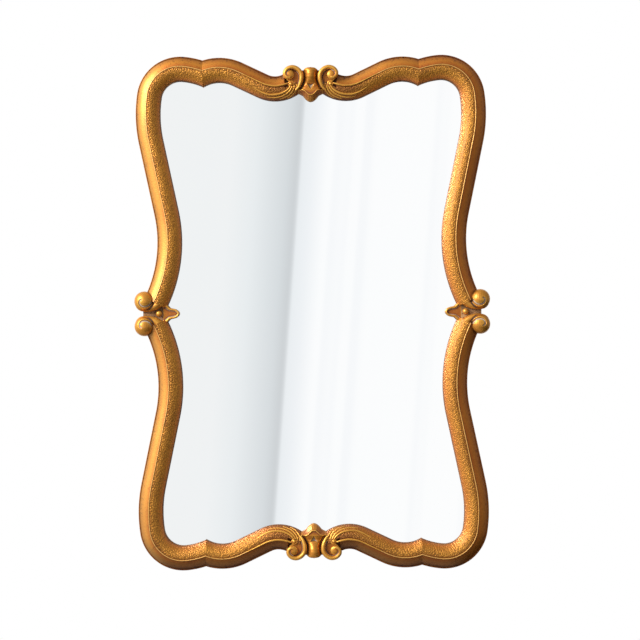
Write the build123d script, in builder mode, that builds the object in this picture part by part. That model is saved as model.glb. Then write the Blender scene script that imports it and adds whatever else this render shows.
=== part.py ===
from build123d import *
import math
import os

# A scalloped wall mirror: four gilded wooden frame members, mitred at the corners, with carved
# ornaments glued on, a glass in a rebate behind them, and hanging hardware on the back.
# Millimetres. X runs to the right, Z up, and the front looks along -Y. The origin is the middle
# of the mirror on the wall. The frame is the same left and right, and the same top and bottom,
# so one quarter is drawn and mirrored. A height is measured forwards from the wood's back.

# The crest line of the moulding, one quarter, measured from the middle of the mirror
waist_x = 276.1
waist_z = 139.0
waist_radius = 263.3
ear_x = 316.0
ear_z = 382.4
ear_radius = 252.8
corner_radius = 62.8
crown_x = 259.9
crown_radius = 152.4
cusp_x = 207.6
cusp_z = 464.4
cusp_above_dip = 30.4
inner_crown_x = 176.0
inner_crown_radius = 84.8
dip_x = 68.2
dip_radius = 53.8
mitre_drop = 17.3

# The moulding's section, from the crest outwards and inwards
outer_band = 20.9
inner_band = 25.9
crest_height = 32.0
crest_bead = 0.8
side_height = 16.0
rim_width = 1.8
rim_rise = 1.2
crease_width = 0.5
outer_bulge = 2.0
sight_height = 13.0
inner_bulge = 6.2

# The rebate and what lies in it
glass_thickness = 4.0
backing_thickness = 3.0
felt_thickness = 1.5
felt_width = 7.0
felt_inset = 1.0
lip_overlap = 10.0
glass_clearance = 2.0
side_flat_inset = 27.8
top_flat_drop = 4.0

# The bed under the top and bottom ornaments
bed_height = 22.0
bed_end_x = 54.0
bed_depth_on_band = 6.0
bed_inner_x = 20.0
keystone_bed_rise = 31.0
scroll_x = 35.0
scroll_rise = 21.0
scroll_bed_radius = 18.0

# The keystone and its drop
boss_half_width = 10.6
boss_top = 36.5
boss_foot = 13.0
boss_height = 39.0
boss_round = 6.0
boss_edge_round = 5.5
drop_height = 31.0
drop_hollow = 9.0
drop_hollow_rise = -2.0
drop_hollow_lift = 3.0
drop_width = 44.0

# The C-scroll
scroll_plate_height = 28.0
scroll_band_height = 32.0
scroll_eye_x = 41.0
scroll_eye_rise = 21.0
scroll_eye_radius = 8.5
scroll_eye_height = 29.5

# The leaf spray beside the scroll
spray_ball_x = 38.0
spray_ball_rise = 4.0
spray_ball_radius = 5.4
spray_ball_height = 30.0

# The side ornaments
volute_out = 6.7
volute_rise = 24.0
volute_radius = 19.3
volute_disc_height = 24.0
volute_ball_radius = 12.5
volute_ball_height = 28.0
volute_ball_shift = 2.6
coil_tube = 4.2
coil_height = 26.0
coil_start = 200.0
coil_turn = 250.0
coil_taper = 1.5
coil_rise = 3.0
recess_height = 18.0
recess_inset = 29.8
recess_half_height = 17.0
arm_cut_inset = 34.8
arm_cut_half_height = 19.0
neck_out = 7.7
neck_half_height = 2.0
bead_inset = 21.8
bead_radius = 6.0
bead_lift = 1.0
leaf_tip_inset = 59.8
leaf_height = 25.0
leaf_hollow = 11.0
leaf_hollow_lift = 3.7

# The corner splines
spline_length = 36.0
spline_thickness = 4.0
spline_depth = 10.0
spline_outset = 4.0

# The hangers, rings and screws on the back
bumper_height = 6.0
bumper_radius = 6.0
bumper_angle = 66.0
bumper_reach = 6.0
strap_width = 12.0
strap_thickness = 1.2
strap_length = 46.0
strap_lift = 0.2
ring_wire = 1.25
ring_clearance = 0.1
ring_half_width = 10.25
ring_straight = 6.0
ring_corner = 3.0
hanger_rise = 18.0
screw_radius = 1.6
screw_length = 13.0
screw_head_radius = 3.2
screw_head_height = 1.8
screw_head_round = 0.8
hanger_screw_drops = (24.0, 38.0)
button_length = 30.0
button_width = 11.0
button_thickness = 1.5
button_pivot = 8.0
button_land = 9.0
button_clearance = 0.1

# Places that follow from the sizes
dip_z = cusp_z - cusp_above_dip
waist_centre = (waist_x + waist_radius, waist_z)
ear_centre = (ear_x - ear_radius, ear_z)
crown_centre = (crown_x, cusp_z - math.sqrt(crown_radius**2 - (crown_x - cusp_x) ** 2))
inner_crown_centre = (
    inner_crown_x,
    cusp_z - math.sqrt(inner_crown_radius**2 - (cusp_x - inner_crown_x) ** 2),
)
dip_centre = (dip_x, dip_z + dip_radius)
side_x = waist_centre[0] - math.sqrt(waist_radius**2 - waist_z**2)
glass_edge = lip_overlap - inner_band
lip_height = backing_thickness + glass_thickness + felt_thickness
side_flat_x = side_x - side_flat_inset
top_flat_z = dip_z - top_flat_drop


def point_on(centre, radius, angle):
    """The point at an angle in degrees on a circle in the plane of the frame."""
    return (
        centre[0] + radius * math.cos(math.radians(angle)),
        centre[1] + radius * math.sin(math.radians(angle)),
    )


def angle_to(start, end):
    """The direction from one point to another, in degrees."""
    return math.degrees(math.atan2(end[1] - start[1], end[0] - start[0]))


def circles_meet(centre_a, radius_a, centre_b, radius_b):
    """The meeting point of two circles that lies furthest up and to the right."""
    apart = math.dist(centre_a, centre_b)
    along = (radius_a**2 - radius_b**2 + apart**2) / (2 * apart)
    aside = math.sqrt(radius_a**2 - along**2)
    ux = (centre_b[0] - centre_a[0]) / apart
    uz = (centre_b[1] - centre_a[1]) / apart
    meets = [
        (centre_a[0] + along * ux - side * aside * uz, centre_a[1] + along * uz + side * aside * ux)
        for side in (1, -1)
    ]
    return max(meets, key=sum)


def cross_tangent(centre_a, radius_a, centre_b, radius_b, side):
    """The direction, as seen from circle b, in which the straight run between both circles touches it."""
    lean = math.degrees(math.asin((radius_a + radius_b) / math.dist(centre_a, centre_b)))
    return angle_to(centre_a, centre_b) - side * lean - 90


corner_centre = circles_meet(
    ear_centre, ear_radius - corner_radius, crown_centre, crown_radius - corner_radius
)
ear_start = cross_tangent(waist_centre, waist_radius, ear_centre, ear_radius, 1)
ear_end = angle_to(ear_centre, corner_centre)
corner_end = angle_to(crown_centre, corner_centre)
dip_start = cross_tangent(inner_crown_centre, inner_crown_radius, dip_centre, dip_radius, -1) - 180
mitre_z = corner_centre[1] - corner_centre[0] - mitre_drop
mitre_plane = Plane(origin=(0, 0, mitre_z), z_dir=(-1, 0, 1))
cusp_plane = Plane(origin=(cusp_x, 0, 0), z_dir=(1, 0, 0))
sides = (("right", 1), ("left", -1))


def front_plane(height):
    """The plane of the frame at a height in front of the wood's back, drawn as seen from the front."""
    return Plane.XZ.offset(bumper_height + height)


def forward(height):
    """The Y coordinate of a height in front of the wood's back."""
    return -(bumper_height + height)


def moulding_section(plane, crest, outward):
    """The section across the moulding, with the crest at x = crest and the back along x."""
    rim_top = side_height + rim_rise

    def at(reach, height):
        return (crest + outward * reach, height)

    with BuildSketch(plane) as section:
        with BuildLine():
            Line(at(-inner_band, 0), at(outer_band, 0))
            Line(at(outer_band, 0), at(outer_band, side_height))
            Line(at(outer_band, side_height), at(outer_band - rim_width / 2, rim_top))
            Line(at(outer_band - rim_width / 2, rim_top), at(outer_band - rim_width, rim_top))
            Line(
                at(outer_band - rim_width, rim_top),
                at(outer_band - rim_width - crease_width, rim_top - crease_width),
            )
            SagittaArc(
                at(outer_band - rim_width - crease_width, rim_top - crease_width),
                at(crest_bead, crest_height - crest_bead),
                -outward * outer_bulge,
            )
            Polyline(
                at(crest_bead, crest_height - crest_bead),
                at(crest_bead / 2, crest_height),
                at(-crest_bead / 2, crest_height),
                at(-crest_bead, crest_height - crest_bead),
            )
            SagittaArc(
                at(-crest_bead, crest_height - crest_bead),
                at(-inner_band, sight_height),
                -outward * inner_bulge,
            )
            Line(at(-inner_band, sight_height), at(-inner_band, 0))
        make_face()
    return section.sketch


def curved_moulding(centre, radius, outward, start, end):
    """A stretch of moulding round a centre. Outward is 1 where the centre lies inside the frame."""
    x = math.cos(math.radians(start))
    z = math.sin(math.radians(start))
    plane = Plane(
        origin=(centre[0], -bumper_height, centre[1]), x_dir=(x, 0, z), z_dir=(z, 0, -x)
    )
    with BuildPart() as run:
        revolve(
            moulding_section(plane, radius, outward),
            axis=Axis((centre[0], 0, centre[1]), (0, -1, 0)),
            revolution_arc=end - start,
        )
    return run.part


def straight_moulding(start, end, normal_angle):
    """A straight stretch of moulding from one crest point to the next."""
    x = math.cos(math.radians(normal_angle))
    z = math.sin(math.radians(normal_angle))
    plane = Plane(origin=(start[0], -bumper_height, start[1]), x_dir=(x, 0, z), z_dir=(z, 0, -x))
    with BuildPart() as run:
        extrude(moulding_section(plane, 0, 1), amount=-math.dist(start, end))
    return run.part


def quarter_outline(reach):
    """One quarter of the outline of the glass, as a sketch, at a reach outwards from the crest line."""
    shift = reach - glass_edge
    side = side_flat_x + shift
    top = top_flat_z + shift
    waist_r = waist_radius - reach
    dip_r = dip_radius - reach
    crown_r = crown_radius + reach
    inner_r = inner_crown_radius + reach
    side_end = waist_z - math.sqrt(waist_r**2 - (waist_centre[0] - side) ** 2)
    top_start = dip_x - math.sqrt(dip_r**2 - (dip_centre[1] - top) ** 2)
    cusp = circles_meet(crown_centre, crown_r, inner_crown_centre, inner_r)
    side_angle = angle_to(waist_centre, (side, side_end)) % 360
    waist_end = (ear_start + 180) % 360
    inner_end = dip_start + 180
    cusp_angle = angle_to(crown_centre, cusp)
    inner_start = angle_to(inner_crown_centre, cusp)
    top_angle = angle_to(dip_centre, (top_start, top))
    with BuildSketch() as quarter:
        with BuildLine():
            Line((0, 0), (side, 0))
            Line((side, 0), (side, side_end))
            CenterArc(waist_centre, waist_r, side_angle, waist_end - side_angle)
            Line(
                point_on(waist_centre, waist_r, waist_end),
                point_on(ear_centre, ear_radius + reach, ear_start),
            )
            CenterArc(ear_centre, ear_radius + reach, ear_start, ear_end - ear_start)
            CenterArc(corner_centre, corner_radius + reach, ear_end, corner_end - ear_end)
            CenterArc(crown_centre, crown_r, corner_end, cusp_angle - corner_end)
            CenterArc(inner_crown_centre, inner_r, inner_start, inner_end - inner_start)
            Line(
                point_on(inner_crown_centre, inner_r, inner_end),
                point_on(dip_centre, dip_r, dip_start),
            )
            CenterArc(dip_centre, dip_r, dip_start, top_angle - dip_start)
            Line((top_start, top), (0, top))
            Line((0, top), (0, 0))
        make_face()
    return quarter.sketch


def whole_outline(reach, height):
    """The whole outline of the glass at a height, from its quarter."""
    with BuildSketch(front_plane(height)) as outline:
        add(quarter_outline(reach))
        mirror(about=Plane.YZ)
        mirror(about=Plane.XZ)
    return outline.sketch


def rib(stations):
    """A tapering round bar through stations of x, z, height and radius."""
    points = [Vector(x, forward(height), z) for x, z, height, _ in stations]
    last = len(points) - 1
    with BuildPart() as bar:
        for i, (point, station) in enumerate(zip(points, stations)):
            tangent = points[min(i + 1, last)] - points[max(i - 1, 0)]
            with BuildSketch(Plane(origin=point, x_dir=(0, 1, 0), z_dir=tangent)):
                Circle(station[3])
        loft()
    return bar.part


def dome(x, z, height, radius, foot):
    """A ball that stands on a round stem from a foot height."""
    with BuildPart() as ball:
        with BuildSketch(front_plane(foot)):
            with Locations((x, z)):
                Circle(radius)
        extrude(amount=height - foot)
        with Locations((x, forward(height), z)):
            Sphere(radius)
        split(bisect_by=front_plane(foot), keep=Keep.TOP)
    return ball.part


def crest_place(run, reach):
    """A place on the moulding beside the dip: run along the crest from the dip, reach outwards."""
    arc_run = math.radians(dip_start + 90) * dip_radius
    if run <= arc_run:
        return point_on(dip_centre, dip_radius - reach, -90 + math.degrees(run / dip_radius))
    foot = point_on(dip_centre, dip_radius - reach, dip_start)
    along = math.radians(dip_start + 90)
    return (
        foot[0] + (run - arc_run) * math.cos(along),
        foot[1] + (run - arc_run) * math.sin(along),
    )


def inner_band_height(reach):
    """The height of the inner band's round face at a reach (0 at the crest, negative inwards)."""
    width = inner_band - crest_bead
    fall = crest_height - crest_bead - sight_height
    chord = math.hypot(width, fall)
    radius = (chord**2 / 4 + inner_bulge**2) / (2 * inner_bulge)
    drop = radius - inner_bulge
    centre_x = -crest_bead - width / 2 + drop * fall / chord
    centre_h = sight_height + fall / 2 - drop * width / chord
    return centre_h + math.sqrt(max(radius**2 - (reach - centre_x) ** 2, 0))


def write(piece, name):
    """Labels a finished piece and writes its file."""
    piece.label = name
    export_step(piece, f"parts/{name}.step")


os.makedirs("parts", exist_ok=True)

# One quarter of the moulding, from the middle of the side up to the cusp
crest_waist_end = point_on(waist_centre, waist_radius, ear_start + 180)
crest_ear_start = point_on(ear_centre, ear_radius, ear_start)
middle_angle = angle_to(waist_centre, (side_x, 0)) % 360
with BuildPart() as quarter_ring:
    add(curved_moulding(waist_centre, waist_radius, -1, middle_angle, ear_start + 180))
    add(straight_moulding(crest_waist_end, crest_ear_start, ear_start))
    add(curved_moulding(ear_centre, ear_radius, 1, ear_start, ear_end))
    add(curved_moulding(corner_centre, corner_radius, 1, ear_end, corner_end))
    cusp_angle = angle_to(crown_centre, (cusp_x - outer_band, cusp_z))
    add(curved_moulding(crown_centre, crown_radius, 1, corner_end, cusp_angle))
    split(bisect_by=cusp_plane, keep=Keep.TOP)

# The rest of the quarter, from the cusp in to the bed under the ornaments
crest_inner_end = point_on(inner_crown_centre, inner_crown_radius, dip_start + 180)
crest_dip_start = point_on(dip_centre, dip_radius, dip_start)
with BuildPart() as quarter_lobe:
    cusp_angle = angle_to(inner_crown_centre, (cusp_x + outer_band, cusp_z))
    add(curved_moulding(inner_crown_centre, inner_crown_radius, 1, cusp_angle, dip_start + 180))
    add(straight_moulding(crest_inner_end, crest_dip_start, dip_start + 180))
    far_reach = dip_radius + inner_band
    far_angle = -180 + math.degrees(math.acos((dip_x - bed_inner_x) / far_reach))
    add(curved_moulding(dip_centre, dip_radius, -1, dip_start, far_angle))
    split(bisect_by=cusp_plane, keep=Keep.BOTTOM)
    with BuildSketch(front_plane(bed_height)):
        with Locations(dip_centre):
            Circle(dip_radius + bed_depth_on_band)
        with Locations((bed_end_x, dip_centre[1])):
            Rectangle(bed_end_x, 2 * far_reach, align=(Align.MAX, Align.CENTER), mode=Mode.INTERSECT)
    extrude(amount=crest_height, mode=Mode.SUBTRACT)

# The rebate for one quarter, with the glass clearance all round
with BuildPart() as quarter_rebate:
    with BuildSketch(front_plane(0)):
        add(quarter_outline(glass_edge + glass_clearance))
    extrude(amount=lip_height)

# Where the turn buttons stand: the crest point, and the direction outwards there
side_button_middle = (
    (crest_waist_end[0] + crest_ear_start[0]) / 2,
    (crest_waist_end[1] + crest_ear_start[1]) / 2,
)
button_reach = glass_edge + glass_clearance + button_land
button_places = []
for _, side in sides:
    for level in (1, -1):
        outward = ear_start if side > 0 else 180 - ear_start
        foot = point_on(side_button_middle, button_reach, ear_start)
        button_places.append((side * foot[0], level * foot[1], level * outward))
        top_foot = point_on(inner_crown_centre, inner_crown_radius + button_reach, 90)
        button_places.append((side * top_foot[0], level * top_foot[1], level * 90))
strap_x = waist_x + (outer_band + glass_edge + glass_clearance) / 2
ring_axis_z = waist_z + hanger_rise


def screw_holes(places, mode):
    """Screw shanks sunk from the wood's back at places, taken away from the current piece or added."""
    with BuildSketch(front_plane(0)) as holes:
        with Locations(*places):
            Circle(screw_radius)
    extrude(holes.sketch, amount=screw_length, mode=mode)


def spline_slots(mode):
    """The four corner splines across the mitres, taken away from the current piece or added."""
    slots = []
    for _, side in sides:
        for level in (1, -1):
            seam_reach = corner_radius + spline_outset
            aside = mitre_drop / math.sqrt(2)
            angle = 45 - math.degrees(math.asin(aside / seam_reach))
            x, z = point_on(corner_centre, seam_reach, angle)
            slots.append(Location((side * x, level * z), 45 * side * level + 90))
    with BuildSketch(front_plane(0)) as outline:
        with Locations(*slots):
            Rectangle(spline_length, spline_thickness)
    extrude(outline.sketch, amount=spline_depth, mode=mode)


# The right stile: the moulding from mitre to mitre, a low bed between the side volutes
with BuildPart() as quarter_stile:
    add(quarter_ring.part)
    split(bisect_by=mitre_plane, keep=Keep.BOTTOM)
    with BuildSketch(front_plane(0)) as arm_end:
        with BuildLine():
            Polyline(
                (side_x - arm_cut_inset - inner_band, -inner_band),
                (side_x - arm_cut_inset - inner_band, arm_cut_half_height),
                (side_x - arm_cut_inset, arm_cut_half_height),
                (side_x + neck_out, neck_half_height),
                (side_x + neck_out, volute_rise),
                (side_x + neck_out + 2 * volute_radius, volute_rise),
                (side_x + neck_out + 2 * volute_radius, -inner_band),
                close=True,
            )
        make_face()
    extrude(amount=crest_height, mode=Mode.SUBTRACT)
    with BuildSketch(front_plane(0)) as side_bed:
        with BuildLine():
            Polyline(
                (side_x - recess_inset, 0),
                (side_x - recess_inset, recess_half_height),
                (side_x + neck_out, neck_half_height),
                (side_x + neck_out, 0),
                close=True,
            )
        make_face()
    extrude(amount=recess_height)
    with BuildSketch(front_plane(0)):
        with Locations((side_x + volute_out, volute_rise)):
            Circle(volute_radius)
    extrude(amount=crest_height, mode=Mode.SUBTRACT)
    add(quarter_rebate.part, mode=Mode.SUBTRACT)

with BuildPart() as right_stile:
    add(quarter_stile.part)
    mirror(about=Plane.XY)
    right_places = [(x, z) for x, z, _ in button_places if x > 0 and abs(z) < mitre_z + x]
    right_places += [(strap_x, ring_axis_z - drop) for drop in hanger_screw_drops]
    screw_holes(right_places, Mode.SUBTRACT)
    spline_slots(Mode.SUBTRACT)
write(right_stile.part, "right_stile")

with BuildPart() as left_stile:
    mirror(right_stile.part, about=Plane.YZ)
write(left_stile.part, "left_stile")

# The top rail: both lobes of the moulding, and the flat bed under the keystone and scrolls
with BuildPart() as quarter_rail:
    add(quarter_ring.part)
    split(bisect_by=mitre_plane, keep=Keep.TOP)
    add(quarter_lobe.part)
    with BuildSketch(front_plane(0)) as rail_bed:
        with Locations((0, dip_z + keystone_bed_rise)):
            Rectangle(
                bed_inner_x + scroll_bed_radius / 2,
                keystone_bed_rise + bed_depth_on_band,
                align=(Align.MIN, Align.MAX),
            )
        with Locations((scroll_x, dip_z + scroll_rise)):
            Circle(scroll_bed_radius)
    extrude(amount=bed_height)
    add(quarter_rebate.part, mode=Mode.SUBTRACT)

with BuildPart() as top_rail:
    add(quarter_rail.part)
    mirror(about=Plane.YZ)
    screw_holes([(x, z) for x, z, _ in button_places if z > mitre_z + abs(x)], Mode.SUBTRACT)
    spline_slots(Mode.SUBTRACT)
write(top_rail.part, "top_rail")

with BuildPart() as bottom_rail:
    mirror(top_rail.part, about=Plane.XY)
write(bottom_rail.part, "bottom_rail")

with BuildPart() as corner_splines:
    spline_slots(Mode.ADD)
write(corner_splines.part, "corner_splines")

# The glass, and the board behind it
with BuildPart() as mirror_plate:
    extrude(whole_outline(glass_edge, backing_thickness), amount=glass_thickness)
write(mirror_plate.part, "mirror_plate")

with BuildPart() as backing_board:
    extrude(whole_outline(glass_edge, 0), amount=backing_thickness)
write(backing_board.part, "backing_board")

# Felt between the lip and the glass, one strip for each side, mitred like the frame
with BuildPart() as quarter_felt:
    with BuildSketch(front_plane(backing_thickness + glass_thickness)):
        add(quarter_outline(glass_edge - felt_inset))
        add(quarter_outline(glass_edge - felt_inset - felt_width), mode=Mode.SUBTRACT)
    extrude(amount=felt_thickness)

with BuildPart() as top_felt_strip:
    add(quarter_felt.part)
    split(bisect_by=mitre_plane, keep=Keep.TOP)
    mirror(about=Plane.YZ)
write(top_felt_strip.part, "top_felt_strip")

with BuildPart() as bottom_felt_strip:
    mirror(top_felt_strip.part, about=Plane.XY)
write(bottom_felt_strip.part, "bottom_felt_strip")

with BuildPart() as right_felt_strip:
    add(quarter_felt.part)
    split(bisect_by=mitre_plane, keep=Keep.BOTTOM)
    mirror(about=Plane.XY)
write(right_felt_strip.part, "right_felt_strip")

with BuildPart() as left_felt_strip:
    mirror(right_felt_strip.part, about=Plane.YZ)
write(left_felt_strip.part, "left_felt_strip")

# The keystone: a rounded boss, and under it a drop with a hollow that hangs over the glass
drop_outline = ((22.0, -12.5), (15.0, -16.0), (10.0, -22.0), (5.0, -26.0), (0.0, -27.5))
with BuildPart() as top_keystone:
    with BuildSketch(front_plane(bed_height)):
        with BuildLine():
            Polyline(
                (-boss_half_width, dip_z + boss_foot),
                (-boss_half_width, dip_z + keystone_bed_rise),
                (-boss_half_width + boss_round, dip_z + boss_top),
                (boss_half_width - boss_round, dip_z + boss_top),
                (boss_half_width, dip_z + keystone_bed_rise),
                (boss_half_width, dip_z + boss_foot),
                close=True,
            )
        make_face()
    extrude(amount=boss_height - bed_height)
    boss_edges = edges().filter_by_position(
        Axis.Y, forward(boss_height) - 0.01, forward(boss_height) + 0.01
    )
    fillet(boss_edges, boss_edge_round)
    with BuildSketch(front_plane(bed_height)) as drop_shape:
        with BuildLine():
            Line((0, dip_z + boss_foot + boss_round), (-boss_half_width, dip_z + boss_foot))
            Line((-boss_half_width, dip_z + boss_foot), (-drop_outline[0][0], dip_z + drop_outline[0][1]))
            Polyline(*[(-x, dip_z + z) for x, z in drop_outline])
            Line((0, dip_z + boss_foot + boss_round), (0, dip_z + drop_outline[-1][1]))
        make_face()
        mirror(about=Plane.YZ)
    extrude(amount=drop_height - bed_height)
    with BuildSketch(front_plane(lip_height)) as hanging_drop:
        add(drop_shape.sketch_local)
        Rectangle(drop_width, 2 * (dip_z - bed_depth_on_band), mode=Mode.INTERSECT)
    extrude(amount=bed_height - lip_height)
    with Locations((0, forward(drop_height + drop_hollow_lift), dip_z + drop_hollow_rise)):
        Sphere(drop_hollow, mode=Mode.SUBTRACT)
    add(top_rail.part, mode=Mode.SUBTRACT)
write(top_keystone.part, "top_keystone")

with BuildPart() as bottom_keystone:
    mirror(top_keystone.part, about=Plane.XY)
write(bottom_keystone.part, "bottom_keystone")

# The C-scroll: a plate, a round band that winds from a thin tail up and over, and the eye
scroll_stations = (
    (28.5, -7.0, -3.0, 1.2),
    (22.0, 2.0, -1.5, 2.4),
    (17.5, 13.0, 0.0, 3.4),
    (17.8, 24.0, 0.0, 3.9),
    (24.5, 32.5, 0.0, 4.0),
    (34.0, 36.0, 0.0, 3.9),
    (43.5, 33.0, 0.0, 3.7),
    (49.0, 25.5, -1.0, 3.5),
    (48.5, 17.5, -2.0, 3.0),
    (42.5, 13.5, -3.0, 2.4),
)
scroll_plate = (
    ((28.5, -7.5), (13.8, 12.0), (14.0, 30.0)),
    ((14.0, 30.0), (35.0, 39.5), (53.5, 22.0)),
    ((53.5, 22.0), (50.5, 14.0), (43.5, 10.5)),
    ((43.5, 10.5), (31.0, 6.5), (28.5, -7.5)),
)
scroll_band = rib([(x, dip_z + z, scroll_band_height + h, r) for x, z, h, r in scroll_stations])
scroll_eye = dome(
    scroll_eye_x, dip_z + scroll_eye_rise, scroll_eye_height, scroll_eye_radius, bed_height
)
with BuildPart() as top_right_scroll:
    with BuildSketch(front_plane(bed_height)):
        with BuildLine():
            for arc in scroll_plate:
                ThreePointArc(*[(x, dip_z + z) for x, z in arc])
        make_face()
    extrude(amount=scroll_plate_height - bed_height)
    add(scroll_eye)
    add(scroll_band)
    add(top_rail.part, mode=Mode.SUBTRACT)
    add(top_keystone.part, mode=Mode.SUBTRACT)

# The leaf spray: a ball with ribs that run out over the moulding from it. Each station is the run
# along the crest from the dip, the reach from the crest, the height above the face and the radius.
spray_ribs = (
    ((-29.5, -2.5, 0.0, 1.6), (-10.0, 0.0, 0.2, 2.2), (10.0, 0.0, 0.0, 1.9), (34.0, 0.0, 0.3, 1.2)),
    (
        (-28.0, -7.0, 0.0, 1.4),
        (-14.0, -10.5, 0.3, 1.9),
        (0.0, -14.5, 0.3, 2.2),
        (17.0, -18.0, 0.0, 1.9),
        (38.0, -22.5, -0.6, 1.2),
    ),
    ((-29.0, -8.0, 0.0, 1.2), (-24.0, -16.0, 0.2, 1.5), (-15.5, -20.0, -0.2, 1.1)),
    ((-26.5, -7.5, 0.0, 1.2), (-18.5, -14.5, 0.2, 1.5), (-9.0, -19.5, -0.2, 1.1)),
)


def spray_stations(stations):
    """Places a rib's stations on the face of the moulding."""
    placed = []
    for run, reach, proud, radius in stations:
        x, z = crest_place(run, reach)
        placed.append((x, z, inner_band_height(reach) + proud, radius))
    return placed


with BuildPart() as top_right_spray:
    add(
        dome(
            spray_ball_x,
            dip_z + spray_ball_rise,
            spray_ball_height,
            spray_ball_radius,
            bed_height,
        )
    )
    for stations in spray_ribs:
        add(rib(spray_stations(stations)))
    add(top_rail.part, mode=Mode.SUBTRACT)
    add(top_right_scroll.part, mode=Mode.SUBTRACT)

# The side volute: a disc glued into its seat, a band coiled round it, and the ball
volute_centre = (side_x + volute_out, volute_rise)
coil_path_radius = volute_radius - coil_tube
coil_steps = 8
coil_stations = []
for step in range(coil_steps + 1):
    share = step / coil_steps
    turned_to = coil_start + share * coil_turn
    x, z = point_on(volute_centre, coil_path_radius - share * coil_taper, turned_to)
    coil_stations.append((x, z, coil_height + share * coil_rise, coil_tube - share * coil_taper))
volute_ball = dome(
    volute_centre[0],
    volute_centre[1] + volute_ball_shift,
    volute_ball_height,
    volute_ball_radius,
    0,
)
with BuildPart() as right_upper_volute:
    with BuildSketch(front_plane(0)):
        with Locations(volute_centre):
            Circle(volute_radius)
    extrude(amount=volute_disc_height)
    add(volute_ball)
    add(rib(coil_stations))
    add(right_stile.part, mode=Mode.SUBTRACT)

# The bead in the recess, and the leaf that reaches over the glass
with BuildPart() as right_bead:
    add(dome(side_x - bead_inset, 0, recess_height + bead_lift, bead_radius, recess_height))

leaf_outline = (
    (-29.8, 17.2),
    (-34.0, 17.0),
    (-38.5, 12.5),
    (-43.8, 9.5),
    (-48.0, 9.5),
    (-53.8, 8.0),
    (-57.5, 5.0),
    (-59.8, 0.0),
)
with BuildPart() as right_leaf:
    with BuildSketch(front_plane(lip_height)):
        with BuildLine():
            Polyline(*[(side_x + x, z) for x, z in leaf_outline])
            Line((side_x - leaf_tip_inset, 0), (side_x - recess_inset, 0))
            Line((side_x - recess_inset, 0), (side_x - recess_inset, leaf_outline[0][1]))
        make_face()
        mirror(about=Plane.XZ)
    extrude(amount=leaf_height - lip_height)
    with Locations((side_x - recess_inset - leaf_hollow, forward(leaf_height + leaf_hollow_lift), 0)):
        Sphere(leaf_hollow, mode=Mode.SUBTRACT)
    add(right_stile.part, mode=Mode.SUBTRACT)

# The ornaments repeat in the other quarters
for level_name, level in (("top", 1), ("bottom", -1)):
    for side_name, side in sides:
        for kind, first in (("scroll", top_right_scroll), ("leaf_spray", top_right_spray)):
            piece = first.part
            if side < 0:
                piece = mirror(piece, about=Plane.YZ)
            if level < 0:
                piece = mirror(piece, about=Plane.XY)
            write(piece, f"{level_name}_{side_name}_{kind}")

for side_name, side in sides:
    for kind, first in (
        ("upper_volute", right_upper_volute.part),
        ("lower_volute", mirror(right_upper_volute.part, about=Plane.XY)),
        ("bead", right_bead.part),
        ("leaf", right_leaf.part),
    ):
        piece = first if side > 0 else mirror(first, about=Plane.YZ)
        write(piece, f"{side_name}_{kind}")


def screw(drawn, seat):
    """A screw at a place on a back plane: a round head on its seat, and the shank into the wood."""
    x, z = drawn
    back = Plane.XZ.offset(bumper_height - seat)
    with BuildPart() as made:
        with BuildSketch(back):
            with Locations((x, z)):
                Circle(screw_head_radius)
        extrude(amount=-screw_head_height)
        top = made.faces().sort_by(Axis.Y)[-1]
        fillet(top.edges(), screw_head_round)
        with BuildSketch(back):
            with Locations((x, z)):
                Circle(screw_radius)
        extrude(amount=screw_length + seat)
    return made.part


# The turn buttons, each on a screw: a slot-shaped plate that lies half on the wood, half on the board
button_screws = []
for count, (x, z, outward) in enumerate(button_places, start=1):
    inward = math.radians(outward + 180)
    back = Plane(
        origin=(x, -bumper_height, z),
        x_dir=(math.cos(inward), 0, math.sin(inward)),
        z_dir=(0, 1, 0),
    )
    with BuildPart() as turn_button:
        with BuildSketch(back):
            with Locations((button_length / 2 - button_pivot, 0)):
                SlotOverall(button_length, button_width)
            Circle(screw_radius + button_clearance, mode=Mode.SUBTRACT)
        extrude(amount=button_thickness)
    write(turn_button.part, f"turn_button_{count}")
    button_screws.append(screw((x, z), button_thickness + button_clearance))
write(Compound(children=button_screws), "turn_button_screws")

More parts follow.
